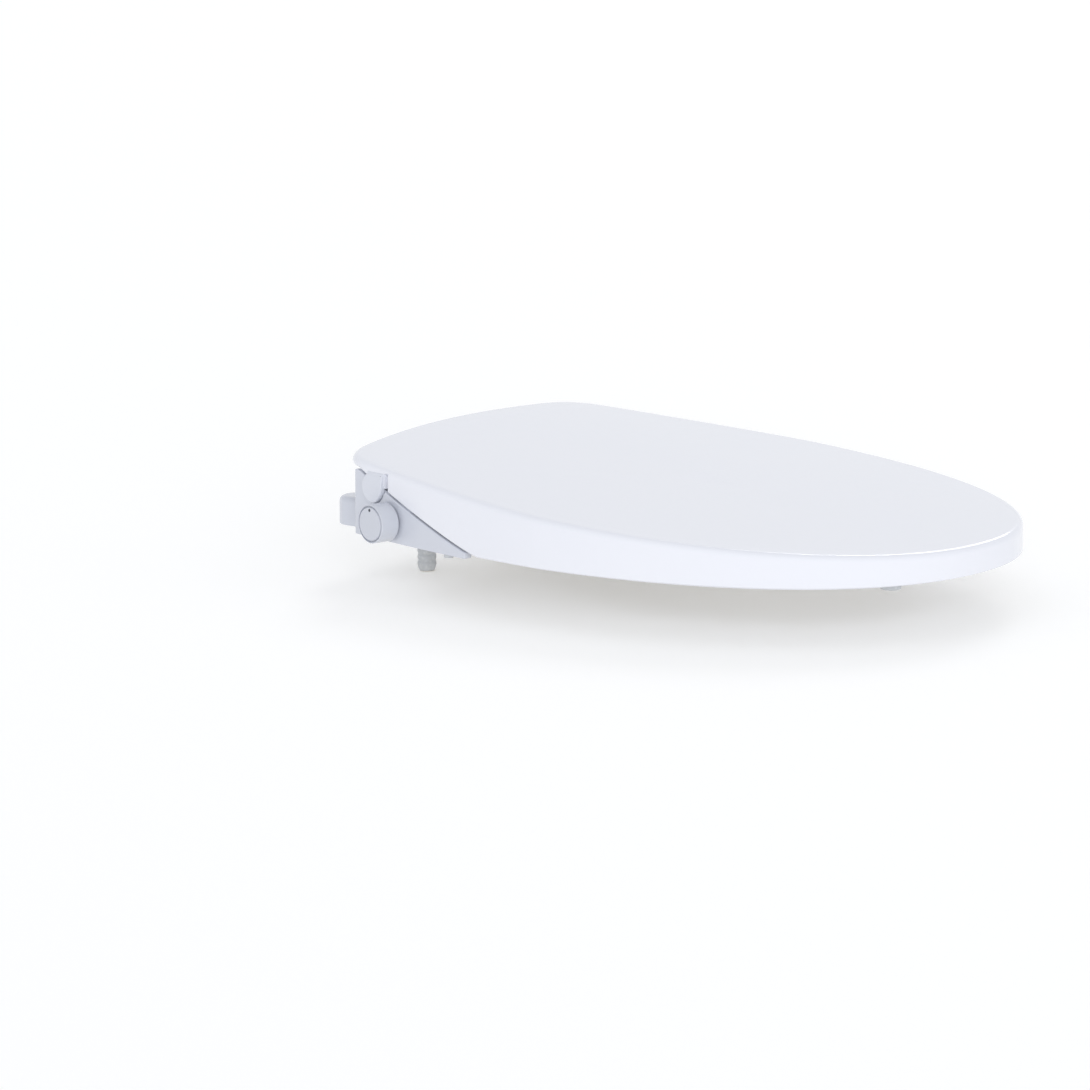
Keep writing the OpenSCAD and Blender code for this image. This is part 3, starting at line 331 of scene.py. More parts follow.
# %% Loft rings into a skin
def loft(rings, wrap=False, first=None, last=None, flat_ends=False):
    """Points and arrays of faces: quads between neighbours in rings (m, n, 3), then the ends."""
    rings = np.asarray(rings, float)
    m, n = rings.shape[:2]
    index = np.arange(m * n).reshape(m, n)
    if wrap:
        index = np.vstack([index, index[:1]])
    turned = np.roll(index, -1, axis=1)
    quads = np.stack([index[:-1], turned[:-1], turned[1:], index[1:]], -1).reshape(-1, 4)
    points = rings.reshape(-1, 3)
    fans = np.empty((0, 3), int)
    if not wrap:
        first = rings[0].mean(0) if first is None else first
        last = rings[-1].mean(0) if last is None else last
        points = np.vstack([points, first, last])
        tip, end = np.full(n, m * n), np.full(n, m * n + 1)
        fans = np.vstack([np.stack([turned[0], index[0], tip], -1),
                          np.stack([index[-1], turned[-1], end], -1)])
    corners = np.vstack([quads[:, [0, 1, 2]], quads[:, [0, 2, 3]], fans])
    a, b, c = (points[corners[:, k]] for k in range(3))
    ends = fans
    if flat_ends:
        points, ends = points[:m * n], np.stack([index[0, ::-1], index[-1]])
    if np.einsum("ij,ij->i", a, np.cross(b, c)).sum() < 0:
        quads, ends = quads[:, ::-1], ends[:, ::-1]
    return points, [quads, ends]


square = np.array([[0, 0, 0], [1, 0, 0], [1, 1, 0], [0, 1, 0]])
cube_points, cube_faces = loft([square, square + [0, 0, 1]], flat_ends=True)
print("a cube:", len(cube_points), "points,", sum(map(len, cube_faces)), "faces")

# %% [markdown]
# ## From a mesh to a piece
# A piece takes the finish of the CAD node that it stands for, is shaded smooth up to a crease
# angle, rides on the node's body and hides the node.

# %% Make pieces
CREASE = 38           # degrees between two faces past which their edge stays sharp


def dress(piece, body, node, crease):
    """Smooth shading up to a crease, the node's finish, and the piece's place in the frame."""
    mesh = piece.data
    mesh.polygons.foreach_set("use_smooth", np.ones(len(mesh.polygons), bool))
    mesh.set_sharp_from_angle(angle=radians(crease))
    mesh.materials.clear()
    mesh.materials.append(finish_of(node))
    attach(piece, body)
    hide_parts(node)
    print(f"{piece.name}: {len(mesh.polygons)} faces")


def make(name, skins, body, node, crease=CREASE):
    """One piece from several closed skins, whose points follow one another in its mesh."""
    shifts = np.cumsum([0] + [len(points) for points, _ in skins])
    points = np.vstack([points for points, _ in skins]) * MM
    faces = [face for shift, (_, groups) in zip(shifts, skins)
             for group in groups for face in (group + shift).tolist()]
    mesh = bpy.data.meshes.new(name)
    mesh.from_pydata(points.tolist(), [], faces)
    piece = bpy.data.objects.new(name, mesh)
    bpy.context.collection.objects.link(piece)
    dress(piece, body, node, crease)


print("edges over", CREASE, "degrees stay sharp")


# %% [markdown]
# ## The outline that everything follows
# Seen from above the lid is a blunt oval in front, a superellipse, whose sides then converge
# slowly to two rounded rear corners and a slightly bowed rear edge. The seat ring and its
# opening are the same kind of curve with other numbers, so one function draws them all.

# %% Draw the outlines
BLUNT = 2.15          # exponent of the front's superellipse
CONVERGE = 1.42       # how late the sides begin to converge
FRONT_STEPS, CORNER_STEPS, REAR_STEPS = 71, 15, 32


def quarter(steps):
    """Angles of a quarter turn."""
    return np.linspace(0, pi / 2, steps)


def rounding(r, steps):
    """Pairs r(1 - sin a) and r(1 - cos a): along a rounded edge one falls to 0, one grows to r."""
    return [(r * (1 - sin(a)), r * (1 - cos(a))) for a in quarter(steps)]


def side_x(y, w, rear_half, wide, rear):
    """Half width behind the widest point: w less a share that grows as a power of the way back."""
    way = np.clip((y - wide) / (rear - wide), 0, None)
    return w - (w - rear_half) * way ** CONVERGE


def outline(w, rear_half, tip, wide, rear, reach, bow, side_ys):
    """Superellipse front, converging sides through side_ys, rounded corners and a bowed rear.

    The front is x = w sin(a)^(2/BLUNT), y = wide - (wide - tip) cos(a)^(2/BLUNT). A corner is
    the curve (1-t)^2 start + 2t(1-t) bend + t^2 end, and the rear is a parabola.
    """
    a = quarter(FRONT_STEPS)
    front = np.c_[w * np.sin(a) ** (2 / BLUNT), wide - (wide - tip) * np.cos(a) ** (2 / BLUNT)]
    side = np.c_[side_x(side_ys, w, rear_half, wide, rear), side_ys]
    start = np.array([side_x(rear - reach, w, rear_half, wide, rear), rear - reach])
    step = np.array([side_x(rear - reach + 1, w, rear_half, wide, rear) - start[0], 1])
    drop = 2 * bow * reach / (start[0] - reach)
    bend = start + step * (reach - drop)
    end = np.array([bend[0] - reach, rear])
    t = np.linspace(0, 1, CORNER_STEPS)[1:, None]
    corner = (1 - t) ** 2 * start + 2 * t * (1 - t) * bend + t ** 2 * end
    x = end[0] * np.linspace(1, 0, REAR_STEPS)[1:]
    back = np.c_[x, rear + bow * (1 - (x / end[0]) ** 2)]
    half = np.vstack([front, side[1:], corner, back])
    return np.vstack([half, half[-2:0:-1] * [-1, 1]])


def outward(curve):
    """Unit normals of a closed curve that runs counter-clockwise."""
    along = np.roll(curve, -1, 0) - np.roll(curve, 1, 0)
    return np.c_[along[:, 1], -along[:, 0]] / np.linalg.norm(along, axis=1)[:, None]


def inset(curve, depth):
    """The curve moved inwards by one depth, or by one for each point."""
    return curve - np.broadcast_to(depth, len(curve))[:, None] * outward(curve)


def at_height(curve, z):
    """A ring in space from a flat curve and one height, or one for each point."""
    return np.c_[curve, np.broadcast_to(z, len(curve))]


oval = outline(10, 6, 0, 10, 20, 3, 0, np.linspace(10, 17, 3))
print("a small outline:", len(oval), "points,", oval.min(0).round(1), "to", oval.max(0).round(1))

# %% [markdown]
# ## The lid's heights
# The lid is a wedge: low at the tip, high at the hinge, with a top that rises a little faster
# towards the rear. Its skirt reaches down to the bowl's rim in front. Over the last quarter the
# skirt's edge climbs along the housing's wing, and behind the ears only a short lip is left.

# %% Measure the lid
lid_low, lid_high = box_mm("lid")
LID_HALF, TIP = lid_high[0], lid_low[1]
WIDE = TIP + 262                  # where the lid is widest
REAR, REAR_HALF, CORNER = 35.0, 140.0, 34.0
BOW = lid_high[1] - REAR
WALL, EDGE_R, CROWN, DOME, LIP = 2.8, 5.0, 2.0, 2.0, 5.6
EDGE_LOW, STRAIGHT_RISE, SQUARE_RISE = 26.4, 33.9 * 0.64, 33.9 * 0.36
SKIRT_LOW = lid_low[2]
SEAM_START, CHEEK_Y, SEAM_TOP, SEAM = -120.0, -25.5, 39.0, 1.8
CLIMB_REACH, CLIMB_POWER = 96, 1.15


def edge_z(y):
    """Height of the lid's top edge: a straight rise plus a square one."""
    t = (y - TIP) / (REAR - TIP)
    return EDGE_LOW + STRAIGHT_RISE * t + SQUARE_RISE * t * t


def top_z(curve):
    """Height of the top edge at points of an outline; the rear edge is domed in its middle."""
    x, y = curve[:, 0], curve[:, 1]
    return edge_z(y) + DOME * ((y - TIP) / (REAR - TIP)) ** 2 * (1 - (x / lid_x(y)) ** 2)


def skirt_z(y):
    """Height of the skirt's lower edge: level, then climbing the wing up to the rear lip."""
    way = np.clip((y - SEAM_START) / CLIMB_REACH, 0, None)
    return np.minimum(SKIRT_LOW + (SEAM_TOP - SKIRT_LOW) * way ** CLIMB_POWER, edge_z(y) - LIP)


def lid_x(y):
    """Half the lid's width at y, behind its widest place."""
    return side_x(y, LID_HALF, REAR_HALF, WIDE, REAR)


def wall_frame(y, side):
    """A point of the lid's side at y, its outward normal and its rearward tangent, from above."""
    slope = lid_x(y + 0.5) - lid_x(y - 0.5)
    normal = np.array([1, -slope]) / np.hypot(1, slope)
    along = np.array([-side * normal[1], normal[0]])
    return np.array([side * lid_x(y), y]), normal * [side, 1], along


print("lid:", (2 * LID_HALF).round(1), "wide,", (REAR + BOW - TIP).round(1), "long")
print("its edge rises from", edge_z(TIP).round(1), "to", edge_z(REAR).round(1))

# %% [markdown]
# ## The lid
# One skin runs from the middle of the top out over the rounded edge, down the skirt, round its
# lower edge and back under the top. The narrow slot in front of each ear is a place where the
# skin steps in, outside and inside alike, so the outline has extra points at the slot's sides.

# %% Shape the lid's rings
SLOT = (-25.0, -20.0)             # from and to, along the side
SLOT_DEPTH, SLOT_TOP, SLOT_FADE, SLOT_WALL = 3.4, 52, 1.5, 2.4
MID = np.array([0, WIDE - 20])    # what the rings of the lid's top shrink to
slot_ys = [-27.45, -27.35, -26, -25.05, -24.95, -23.5, -22, -20.05, -19.95, -18.8, -17.65, -17.55]
lid_ys = np.r_[np.linspace(WIDE, -28.5, 60), slot_ys, np.linspace(-16.5, REAR - CORNER, 13)]
lid_curve = outline(LID_HALF, REAR_HALF, TIP, WIDE, REAR, CORNER, BOW, lid_ys)
lid_y = lid_curve[:, 1]


def slot_depth(y, z, wider=0.0):
    """How far the slot ahead of the ear steps in at y and z; inside the lid it is wider."""
    inside = (y > SLOT[0] - wider) & (y < SLOT[1] + wider)
    return SLOT_DEPTH * inside * np.clip((SLOT_TOP + wider - z) / SLOT_FADE, 0, 1)


def outer_ring(depth, z):
    """A ring of the wall's outer face, which steps in at the slot."""
    return at_height(inset(lid_curve, depth + slot_depth(lid_y, z)), z)


def inner_ring(depth, z):
    """A ring of the wall's inner face, which passes behind the slot."""
    slot_wall = WALL + slot_depth(lid_y, z, SLOT_WALL)
    return at_height(inset(lid_curve, np.maximum(depth, slot_wall)), z)


def crowned(curve, share, drop):
    """The curve shrunk about the lid's middle, on the crowned top, lowered by drop."""
    shrunk = MID + share * (curve - MID)
    return at_height(shrunk, top_z(shrunk) + CROWN * (1 - share ** 2) - drop)


print("lid outline:", len(lid_curve), "points")

# %% [markdown]
# ## The lid's skin
# Each rounded edge is a few rings on a quarter circle: as their inset falls from the radius to
# nothing, they are lowered by as much as the circle falls there. That keeps the radius even all
# round the lid, which a bevel on such a changing outline would not.

# %% Stack the lid's rings
LOWER_R, INNER_R, CORE = 0.9, 4.0, 0.06      # CORE is the smallest ring's share of the outline
top_curve = inset(lid_curve, EDGE_R)
under_curve = inset(lid_curve, WALL + INNER_R)
low_z = skirt_z(lid_y)
high_z = top_z(lid_curve)
rings = [crowned(top_curve, share, 0) for share in np.linspace(CORE, 1, 16)[:-1]]
rings += [outer_ring(depth, high_z - drop) for depth, drop in rounding(EDGE_R, 10)]
rings += [outer_ring(0, high_z - EDGE_R + t * (low_z + LOWER_R - high_z + EDGE_R))
          for t in np.linspace(0, 1, 9)[1:]]
rings += [outer_ring(depth, low_z + lift) for lift, depth in rounding(LOWER_R, 5)[1:]]
inner_z = np.maximum(high_z - WALL - INNER_R, low_z + 0.5)
rings += [inner_ring(WALL - 0.4, low_z), inner_ring(WALL, low_z + 0.4)]
rings += [inner_ring(WALL + INNER_R * (1 - cos(a)), inner_z + (high_z - WALL - inner_z) * sin(a))
          for a in quarter(7)]
rings += [crowned(under_curve, share, WALL) for share in np.linspace(1, CORE, 12)[1:]]
summit = edge_z(MID[1]) + CROWN
lid_skin = loft(rings, first=[*MID, summit], last=[*MID, summit - WALL])
print("lid skin:", len(rings), "rings")

# %% [markdown]
# ## Hinge arms
# Each arm is a flat bar with a round end at the hinge: its side view is one closed curve, and
# the bar is that curve carried sideways, inset at both faces so that the edges are rounded.

# %% Carry side views sideways
shaft_low, shaft_high = box_mm("lid_shaft")
HINGE = (shaft_low[1:] + shaft_high[1:]) / 2
BARREL = 9.0


def smooth_corners(corners, rounds=2, share=0.25):
    """Cuts the corners of a closed polygon again and again, so that they turn round."""
    points = np.asarray(corners, float)
    for _ in range(rounds):
        ahead = np.roll(points, -1, 0)
        step = share * (ahead - points)
        points = np.stack([points + step, ahead - step], 1).reshape(-1, 2)
    return points


def spread(points, count):
    """count points at even distances along a closed curve."""
    closed = np.vstack([points, points[:1]])
    way = np.r_[0, np.cumsum(np.linalg.norm(np.diff(closed, axis=0), axis=1))]
    at = np.linspace(0, way[-1], count, endpoint=False)
    return np.c_[np.interp(at, way, closed[:, 0]), np.interp(at, way, closed[:, 1])]


def bar(side_view, x0, x1, round_r=1.0):
    """A counter-clockwise curve in Y and Z carried along X, with rounded edges at both faces."""
    rings = []
    for x, inwards in ((x0, 1), (x1, -1)):
        for way, depth in rounding(round_r, 5)[::-inwards]:
            flat = inset(side_view, depth)
            rings.append(np.c_[np.full(len(flat), x + inwards * way), flat])
    return loft(rings, flat_ends=True)


def barrel(start, end, radius=BARREL):
    """Points of the hinge's barrel from one angle to another, in degrees."""
    a = np.radians(np.linspace(start, end, 24))
    return np.c_[HINGE[0] + radius * np.cos(a), HINGE[1] + radius * np.sin(a)]


def both(skin):
    """A skin and its mirror image across the middle, whose faces run the other way round."""
    points, groups = skin
    return [skin, (points * [-1, 1, 1], [faces[:, ::-1] for faces in groups])]


print("hinge line at y", HINGE[0].round(2), "and z", HINGE[1].round(2))

# %% [markdown]
# ## The lid's arms
# The arms that hold the lid's shaft are moulded in one with it, so all three skins go into one
# mesh. A boolean union would cut up the lid's even grid for a joint that nobody sees. The arms
# only run a little way into the lid.

# %% Build the lid with its arms
lid_arm = np.vstack([barrel(180, 360), [[31, edge_z(31) - 0.6], [10, edge_z(10) - 0.6]]])
LID_ARM_X = (100.6, 117.6)
make("lid_shell", [lid_skin, *both(bar(spread(lid_arm, 90), *LID_ARM_X))], "lid_assembly", "lid")

# %% [markdown]
# ## The ears
# At each rear side a round tab hangs from the lid over the housing's wall and covers the
# hinge's side. Its front side is straight, its rear side follows the circle. It stands a little
# proud at its round end and runs into the lid at its top. A disc laid on the wall would show
# its whole rim, so the height of each ring fades instead.

# %% Build the ears
EAR_Y, EAR_Z, EAR_R, EAR_BACK, EAR_OUT, EAR_TOP = -8.5, 40.5, 11.5, 6.5, 2.5, 51.6
EAR_ROUND, EAR_SUNK, EAR_FADE, EAR_EASE = 1.3, -1.2, 7.5, 0.6


def ear(side):
    """Rings of the ear's outline, inset step by step; its proud height fades towards its top."""
    origin, normal, along = wall_frame(EAR_Y, side)
    a = np.linspace(pi, 2 * pi + np.arccos(EAR_BACK / EAR_R), 80)
    rim = np.vstack([np.c_[EAR_R * np.cos(a), EAR_Z + EAR_R * np.sin(a)],
                     [[EAR_BACK, EAR_TOP], [-EAR_R, EAR_TOP]]])
    rim = spread(rim, 150)
    middle = np.array([-1, EAR_Z + 1])
    steps = [(0.0, EAR_SUNK), (0.0, 0.2)]
    steps += [(depth, EAR_OUT - drop) for drop, depth in rounding(EAR_ROUND, 7)]
    steps += [(depth, EAR_OUT) for depth in (2.5, 4, 6, 8, 10)]
    rings = []
    for depth, height in steps:
        shrunk = middle + (1 - depth / EAR_R) * (rim - middle)
        flat = inset(rim, depth) if depth <= EAR_ROUND else shrunk
        fade = np.clip((EAR_TOP - flat[:, 1]) / EAR_FADE, 0, 1)
        proud = np.where(height > 0, height * fade ** EAR_EASE, height)
        place = origin + flat[:, :1] * along + proud[:, None] * normal
        rings.append(np.c_[place, flat[:, 1]])
    return loft(rings)


make("lid_ears", [ear(1), ear(-1)], "lid_assembly", "lid_ear_caps")

# %% [markdown]
# ## The seat ring
# The ring lies under the lid. Its section is a flat arch: rolled outer and inner edges, a top
# that dips a little towards the opening, and a hollow underside. The outer outline and the
# opening have as many points as each other, so a section can run from one to the other.

# %% Draw the seat ring's outline and opening
seat_low, seat_high = box_mm("seat_ring")
SEAT_TIP, SEAT_HALF, SEAT_REAR = seat_low[1], seat_high[0], -54.0
SEAT_REAR_HALF, SEAT_CORNER = 150, 24
HOLE_HALF, HOLE_REAR_HALF, HOLE_CORNER = 106, 74, 40
HOLE_TIP, HOLE_WIDE, HOLE_REAR = TIP + 68, WIDE - 36, SEAT_REAR - 42
TOP_LOW, TOP_RISE, DIP = 19.5, 8.5, 1.6
UNDER_LOW, UNDER_RISE, UNDER_START, UNDER_REACH = 3.5, 10.5, -140, 36
seat_curve = outline(SEAT_HALF, SEAT_REAR_HALF, SEAT_TIP, WIDE, SEAT_REAR, SEAT_CORNER, 0,
                     np.linspace(WIDE, SEAT_REAR - SEAT_CORNER, 30))
hole_curve = outline(HOLE_HALF, HOLE_REAR_HALF, HOLE_TIP, HOLE_WIDE, HOLE_REAR, HOLE_CORNER, 0,
                     np.linspace(HOLE_WIDE, HOLE_REAR - HOLE_CORNER, 30))


def seat_top(y):
    """Height of the ring's top, which rises evenly to the rear."""
    return TOP_LOW + TOP_RISE * (y - SEAT_TIP) / (SEAT_REAR - SEAT_TIP)


def seat_under(y):
    """Height of the ring's lower rims, which lift off the bowl near the housing."""
    return UNDER_LOW + UNDER_RISE * np.clip((y - UNDER_START) / UNDER_REACH, 0, 1) ** 2


def seat_ring(curve, depth, top_drop=None, lift=None):
    """A ring of the section: below the top by top_drop, or above the underside by lift."""
    flat = inset(curve, depth)
    z = seat_top(flat[:, 1]) - top_drop if lift is None else seat_under(flat[:, 1]) + lift
    return at_height(flat, z)


print("seat ring:", len(seat_curve), "points, opening:", len(hole_curve))

# %% [markdown]
# ## The seat ring's section
# A squashed torus could come near, but its section would be the same all round. Here each ring
# is a whole outline, so both rolled edges stay round while the ring grows wider and narrower.
# The last ring joins the first one.

# %% Build the seat ring
ROLL, HOLE_ROLL, SHELL, RIM, FILLET, EASE = 6.0, 4.5, 3.4, 4.0, 3, 1.2
section = [seat_ring(hole_curve, -depth, DIP + drop) for drop, depth in rounding(HOLE_ROLL, 8)]
for t in np.linspace(0, 1, 14)[1:-1]:
    across = (1 - t) * inset(hole_curve, -HOLE_ROLL) + t * inset(seat_curve, ROLL)
    section.append(at_height(across, seat_top(across[:, 1]) - DIP * (1 - t) ** 2))
section += [seat_ring(seat_curve, depth, drop) for depth, drop in rounding(ROLL, 9)]
section += [seat_ring(seat_curve, depth, lift=lift) for lift, depth in rounding(EASE, 5)]
section += [seat_ring(seat_curve, RIM - 0.4, lift=0), seat_ring(seat_curve, RIM, lift=0.5)]
section += [seat_ring(seat_curve, RIM + depth, SHELL + 1 + drop)
            for drop, depth in rounding(FILLET, 4)]
section += [seat_ring(hole_curve, -RIM - depth, SHELL + 2.2 + drop)
            for drop, depth in rounding(FILLET, 4)[::-1]]
section += [seat_ring(hole_curve, -RIM, lift=0.5), seat_ring(hole_curve, 0.4 - RIM, lift=0)]
section += [seat_ring(hole_curve, -depth, lift=lift) for lift, depth in rounding(EASE, 5)[::-1]]
seat_arm = [[-25, 49.4], [-60, 39], [-78, 25], [-74, 18], [-58, 18], [-53.5, 35], [5, 35]]
seat_arm = spread(smooth_corners(np.vstack([seat_arm, barrel(-90, 90)]), 1), 120)
SEAT_ARM_X = (75.0, 100.0)
make("seat_shell", [loft(section, wrap=True), *both(bar(seat_arm, *SEAT_ARM_X))],
     "seat", "seat_ring")

# %% [markdown]
# ## The housing's walls
# The visible side of the housing is a thin wall under the lid's skirt. In front it thins to a
# wing that ends in a small square step. It follows the lid's outline, so it is a rounded
# rectangle carried along that outline, while its height follows the seam. Where the ear hangs
# over it, the wall's face steps in by the ear's own shape and a small gap.

# %% Draw the side walls' sections
BASE_Z, WING, BODY_REAR, COVER = 2.5, -108.0, 14.0, 34.0
POCKET, POCKET_GAP, SLOT_POCKET, SLOT_CLEAR = 1.6, 0.5, 2.4, 3
WING_T, WING_GROWTH, WING_REACH, CHEEK_T = 6, 6, 60, 4.0
FINE_Z, CEILING = 26, 60          # above FINE_Z the wall's face has rows close enough for the ear
RIM_STEP = 0.03                   # keeps the lower rims of skins that meet out of one plane


def wall_depth(y, z):
    """How far the wall's face steps in for the ear and for the slot ahead of it."""
    across, up = y - EAR_Y, z - EAR_Z
    disc = np.hypot(across, up) < EAR_R + POCKET_GAP
    neck = (up > 0) & (across > -EAR_R - POCKET_GAP) & (across < EAR_BACK + POCKET_GAP)
    in_slot = (y > SLOT[0]) & (y < SLOT[1]) & (up > -SLOT_CLEAR)
    return np.maximum(POCKET * (disc | neck), SLOT_POCKET * in_slot)


def thickness(y):
    """The wing grows thicker towards the rear, and the cheek behind it is a thin wall."""
    wing = WING_T + WING_GROWTH * np.clip((y - SEAM_START) / WING_REACH, 0, 1)
    return np.where(y > CHEEK_Y, CHEEK_T, wing)


def wall_section(y, trim, side):
    """A rounded rectangle from the outline inwards and from the base up to the seam."""
    t, low, high = float(thickness(y)), BASE_Z + RIM_STEP, float(skirt_z(np.array(y))) - SEAM
    r = min(0.8, (high - low) / 3)
    heights = np.r_[np.linspace(low + r, FINE_Z, 14, endpoint=False),
                    np.linspace(FINE_Z, CEILING, 70)]
    heights = np.clip(heights, low + r, high - r)
    face = np.c_[wall_depth(y, heights), heights]
    start, turn = face[-1, 0], min(r, (t - face[-1, 0] - r) / 2)
    top = [[start + turn * (1 - cos(a)), high - r + r * sin(a)] for a in quarter(5)[1:]]
    corners = ((t - r, high - r, 0), (t - r, low + r, pi / 2), (r, low + r, pi))
    rest = [[d + r * sin(begin + a), z + r * cos(begin + a)]
            for d, z, begin in corners for a in quarter(5)]
    points = np.vstack([face, top, rest])
    middle = np.array([t / 2, (low + high) / 2])
    span = np.array([t, high - low]) / 2
    points = middle + (points - middle) * (1 - np.minimum(trim / span, 0.9))
    origin, normal, _ = wall_frame(y, side)
    return np.c_[origin - points[:, :1] * normal, points[:, 1]]


print("a wall section:", len(wall_section(CHEEK_Y, 0, 1)), "points")

# %% [markdown]
# ## From sections to a wall
# Sections stand a third of a millimetre apart where the ear's pocket is, so that its rim looks
# round, and two millimetres apart along the plain wing. A boolean would cut a sharper pocket,
# but break up the grid that the smooth shading needs.

# %% Build the side walls
WING_END, REAR_END, REAR_SHARE = 0.8, 2.5, 0.6      # the radii at both ends, and the rear's depth


def side_wall(side):
    """The wall's sections from the wing's front end to the rear, trimmed at both ends."""
    plain = np.r_[np.linspace(WING + 2, -30, 40), CHEEK_Y - 0.1, CHEEK_Y + 0.1,
                  np.linspace(-25, 5, 90), 7, 9, 11]
    stations = [(WING + way, trim) for trim, way in rounding(WING_END, 5)]
    stations += [(y, 0) for y in plain]
    stations += [(BODY_REAR - way, trim * REAR_SHARE) for way, trim in rounding(REAR_END, 6)]
    return loft([wall_section(y, trim, side) for y, trim in sorted(stations)])


walls = [side_wall(1), side_wall(-1)]
print("side walls:", sum(map(len, walls[0][1])), "faces each")

# %% [markdown]
# ## The housing's boxes
# Behind the seat ring lies a low box over the valve and hoses, raised in its middle where the
# nozzle block stands, with a low foot behind it and a short nose in front that the nozzles come
# out of. Each is a cup turned upside down: an outline with walls, a rounded top edge and an
# inner skin one wall further in.

# %% Draw boxes and cups
COVER_WALL = 2.4


def rounded_box(x0, x1, y0, y1, r, count=160):
    """A closed curve round a rectangle from x0 to x1 and y0 to y1, with corners of radius r."""
    arcs = []
    corners = ((x1 - r, y0 + r), (x1 - r, y1 - r), (x0 + r, y1 - r), (x0 + r, y0 + r))
    for start, (x, y) in zip((-90, 0, 90, 180), corners):
        a = np.radians(np.linspace(start, start + 90, 12))
        arcs.append(np.c_[x + r * np.cos(a), y + r * np.sin(a)])
    return spread(np.vstack(arcs), count)


def cup(curve, low, high, round_r, flare=0.0):
    """An upside-down cup: outer wall, rounded edge, top; then the same one wall further in.

    The wall starts with a bevel, or with a flare that runs out on the surface below it.
    """
    middle = curve.mean(0)
    outer = [at_height(inset(curve, 0.5), low), at_height(curve, low + 0.5)]
    if flare:
        outer = [at_height(inset(curve, -out), low + lift) for out, lift in rounding(flare, 6)]
    outer += [at_height(inset(curve, depth), high - drop) for drop, depth in rounding(round_r, 8)]
    top = inset(curve, round_r)
    outer += [at_height(middle + s * (top - middle), high) for s in (0.8, 0.4, 0.1)]
    inner = inset(curve, COVER_WALL)
    roof = high - COVER_WALL
    under = [at_height(inner, low), at_height(inner, roof - 1), at_height(inset(inner, 1), roof)]
    under += [at_height(middle + s * (inner - middle), roof) for s in (0.8, 0.4, 0.1)]
    return loft(under[::-1] + outer)


print("a rounded box:", len(rounded_box(-1, 1, -1, 1, 0.5)), "points")

# %% [markdown]
# ## The housing
# The real cover is moulded in one. Here its boxes are closed skins in one mesh that run into
# one another, which looks the same and keeps every rounded edge. Their lower rims lie a few
# hundredths of a millimetre apart, because faces in one plane would flicker.

# %% Build the housing
FOOT_HALF, FOOT_REACH, FOOT_H, FOOT_R = 126.0, 50.0, 17.0, 12.9
FOOT_FRONT, END_X, END_H, END_PROUD = BODY_REAR - 4, 100.0, 23.5, 0.05
HUMP_HALF, HUMP_FRONT, HUMP_REAR, HUMP_H, HUMP_R = 54.0, -45, 9, 42.0, 7
NOSE_HALF, NOSE_FRONT, NOSE_REAR, NOSE_H, NOSE_R = 30.0, -78.0, -49.0, 12.6, 3.0
BODY_FRONT, BODY_IN = -50, 2.5            # the body's front, and how far it lies inside the walls
body_ys = np.linspace(BODY_FRONT, BODY_REAR, 24)
edge = lid_x(body_ys) - BODY_IN
body_corners = np.vstack([np.c_[edge, body_ys], np.c_[-edge, body_ys][::-1]])
body_curve = spread(smooth_corners(body_corners, 2, 0.2), 260)
foot = rounded_box(-FOOT_HALF, FOOT_HALF, FOOT_FRONT, FOOT_REACH, FOOT_R)
foot_end = rounded_box(END_X, FOOT_HALF + END_PROUD, FOOT_FRONT, FOOT_REACH + END_PROUD, FOOT_R)
hump = rounded_box(-HUMP_HALF, HUMP_HALF, HUMP_FRONT, HUMP_REAR, HUMP_R)
housing = walls + [cup(body_curve, BASE_Z + 2 * RIM_STEP, COVER, 3.0),
                   cup(foot, BASE_Z + 3 * RIM_STEP, FOOT_H, 3.5),
                   *both(cup(foot_end, BASE_Z + 4 * RIM_STEP, END_H, 4.0)),
                   cup(hump, COVER - 0.1, HUMP_H, 4.0, 3.0)]


def nose():
    """An upside-down U carried forward: an outer arch, an inner one, and strips between them."""
    a = quarter(8)
    arches = []
    for wall in (0, COVER_WALL):
        x, top, r = NOSE_HALF - wall, NOSE_H - wall, NOSE_R - wall * 0.8
        right = np.vstack([[x, BASE_Z], np.c_[x - r + r * np.cos(a), top - r + r * np.sin(a)]])
        arches.append(np.vstack([right, right[::-1] * [-1, 1]]))
    loop = np.vstack([arches[0], arches[1][::-1]])
    points = np.vstack([np.c_[loop[:, 0], np.full(len(loop), y), loop[:, 1]]
                        for y in (NOSE_FRONT, NOSE_REAR)])
    m = len(loop)
    ring, strip = np.arange(m), np.arange(m // 2 - 1)
    sides = np.stack([ring, (ring + 1) % m, (ring + 1) % m + m, ring + m], -1)
    front = np.stack([strip + 1, strip, m - 1 - strip, m - 2 - strip], -1)
    return points, [sides, front, front[:, ::-1] + m]


knuckle = np.vstack([barrel(-60, 190), [[-3, 33.5], [12, 30], [13.5, 24], [21, 25]]])
KNUCKLE_X = (41.0, 74.4)
housing += [nose(), *both(bar(spread(knuckle, 90), *KNUCKLE_X))]
make("housing", housing, "base", "base_cover")

# %% [markdown]
# ## Turned and round pieces
# The knob, the button, the feet, the plugs and the inlet are all round, so each is a profile of
# distances along its axis and radii, carried once round that axis. A profile that starts and
# ends on the axis closes itself.

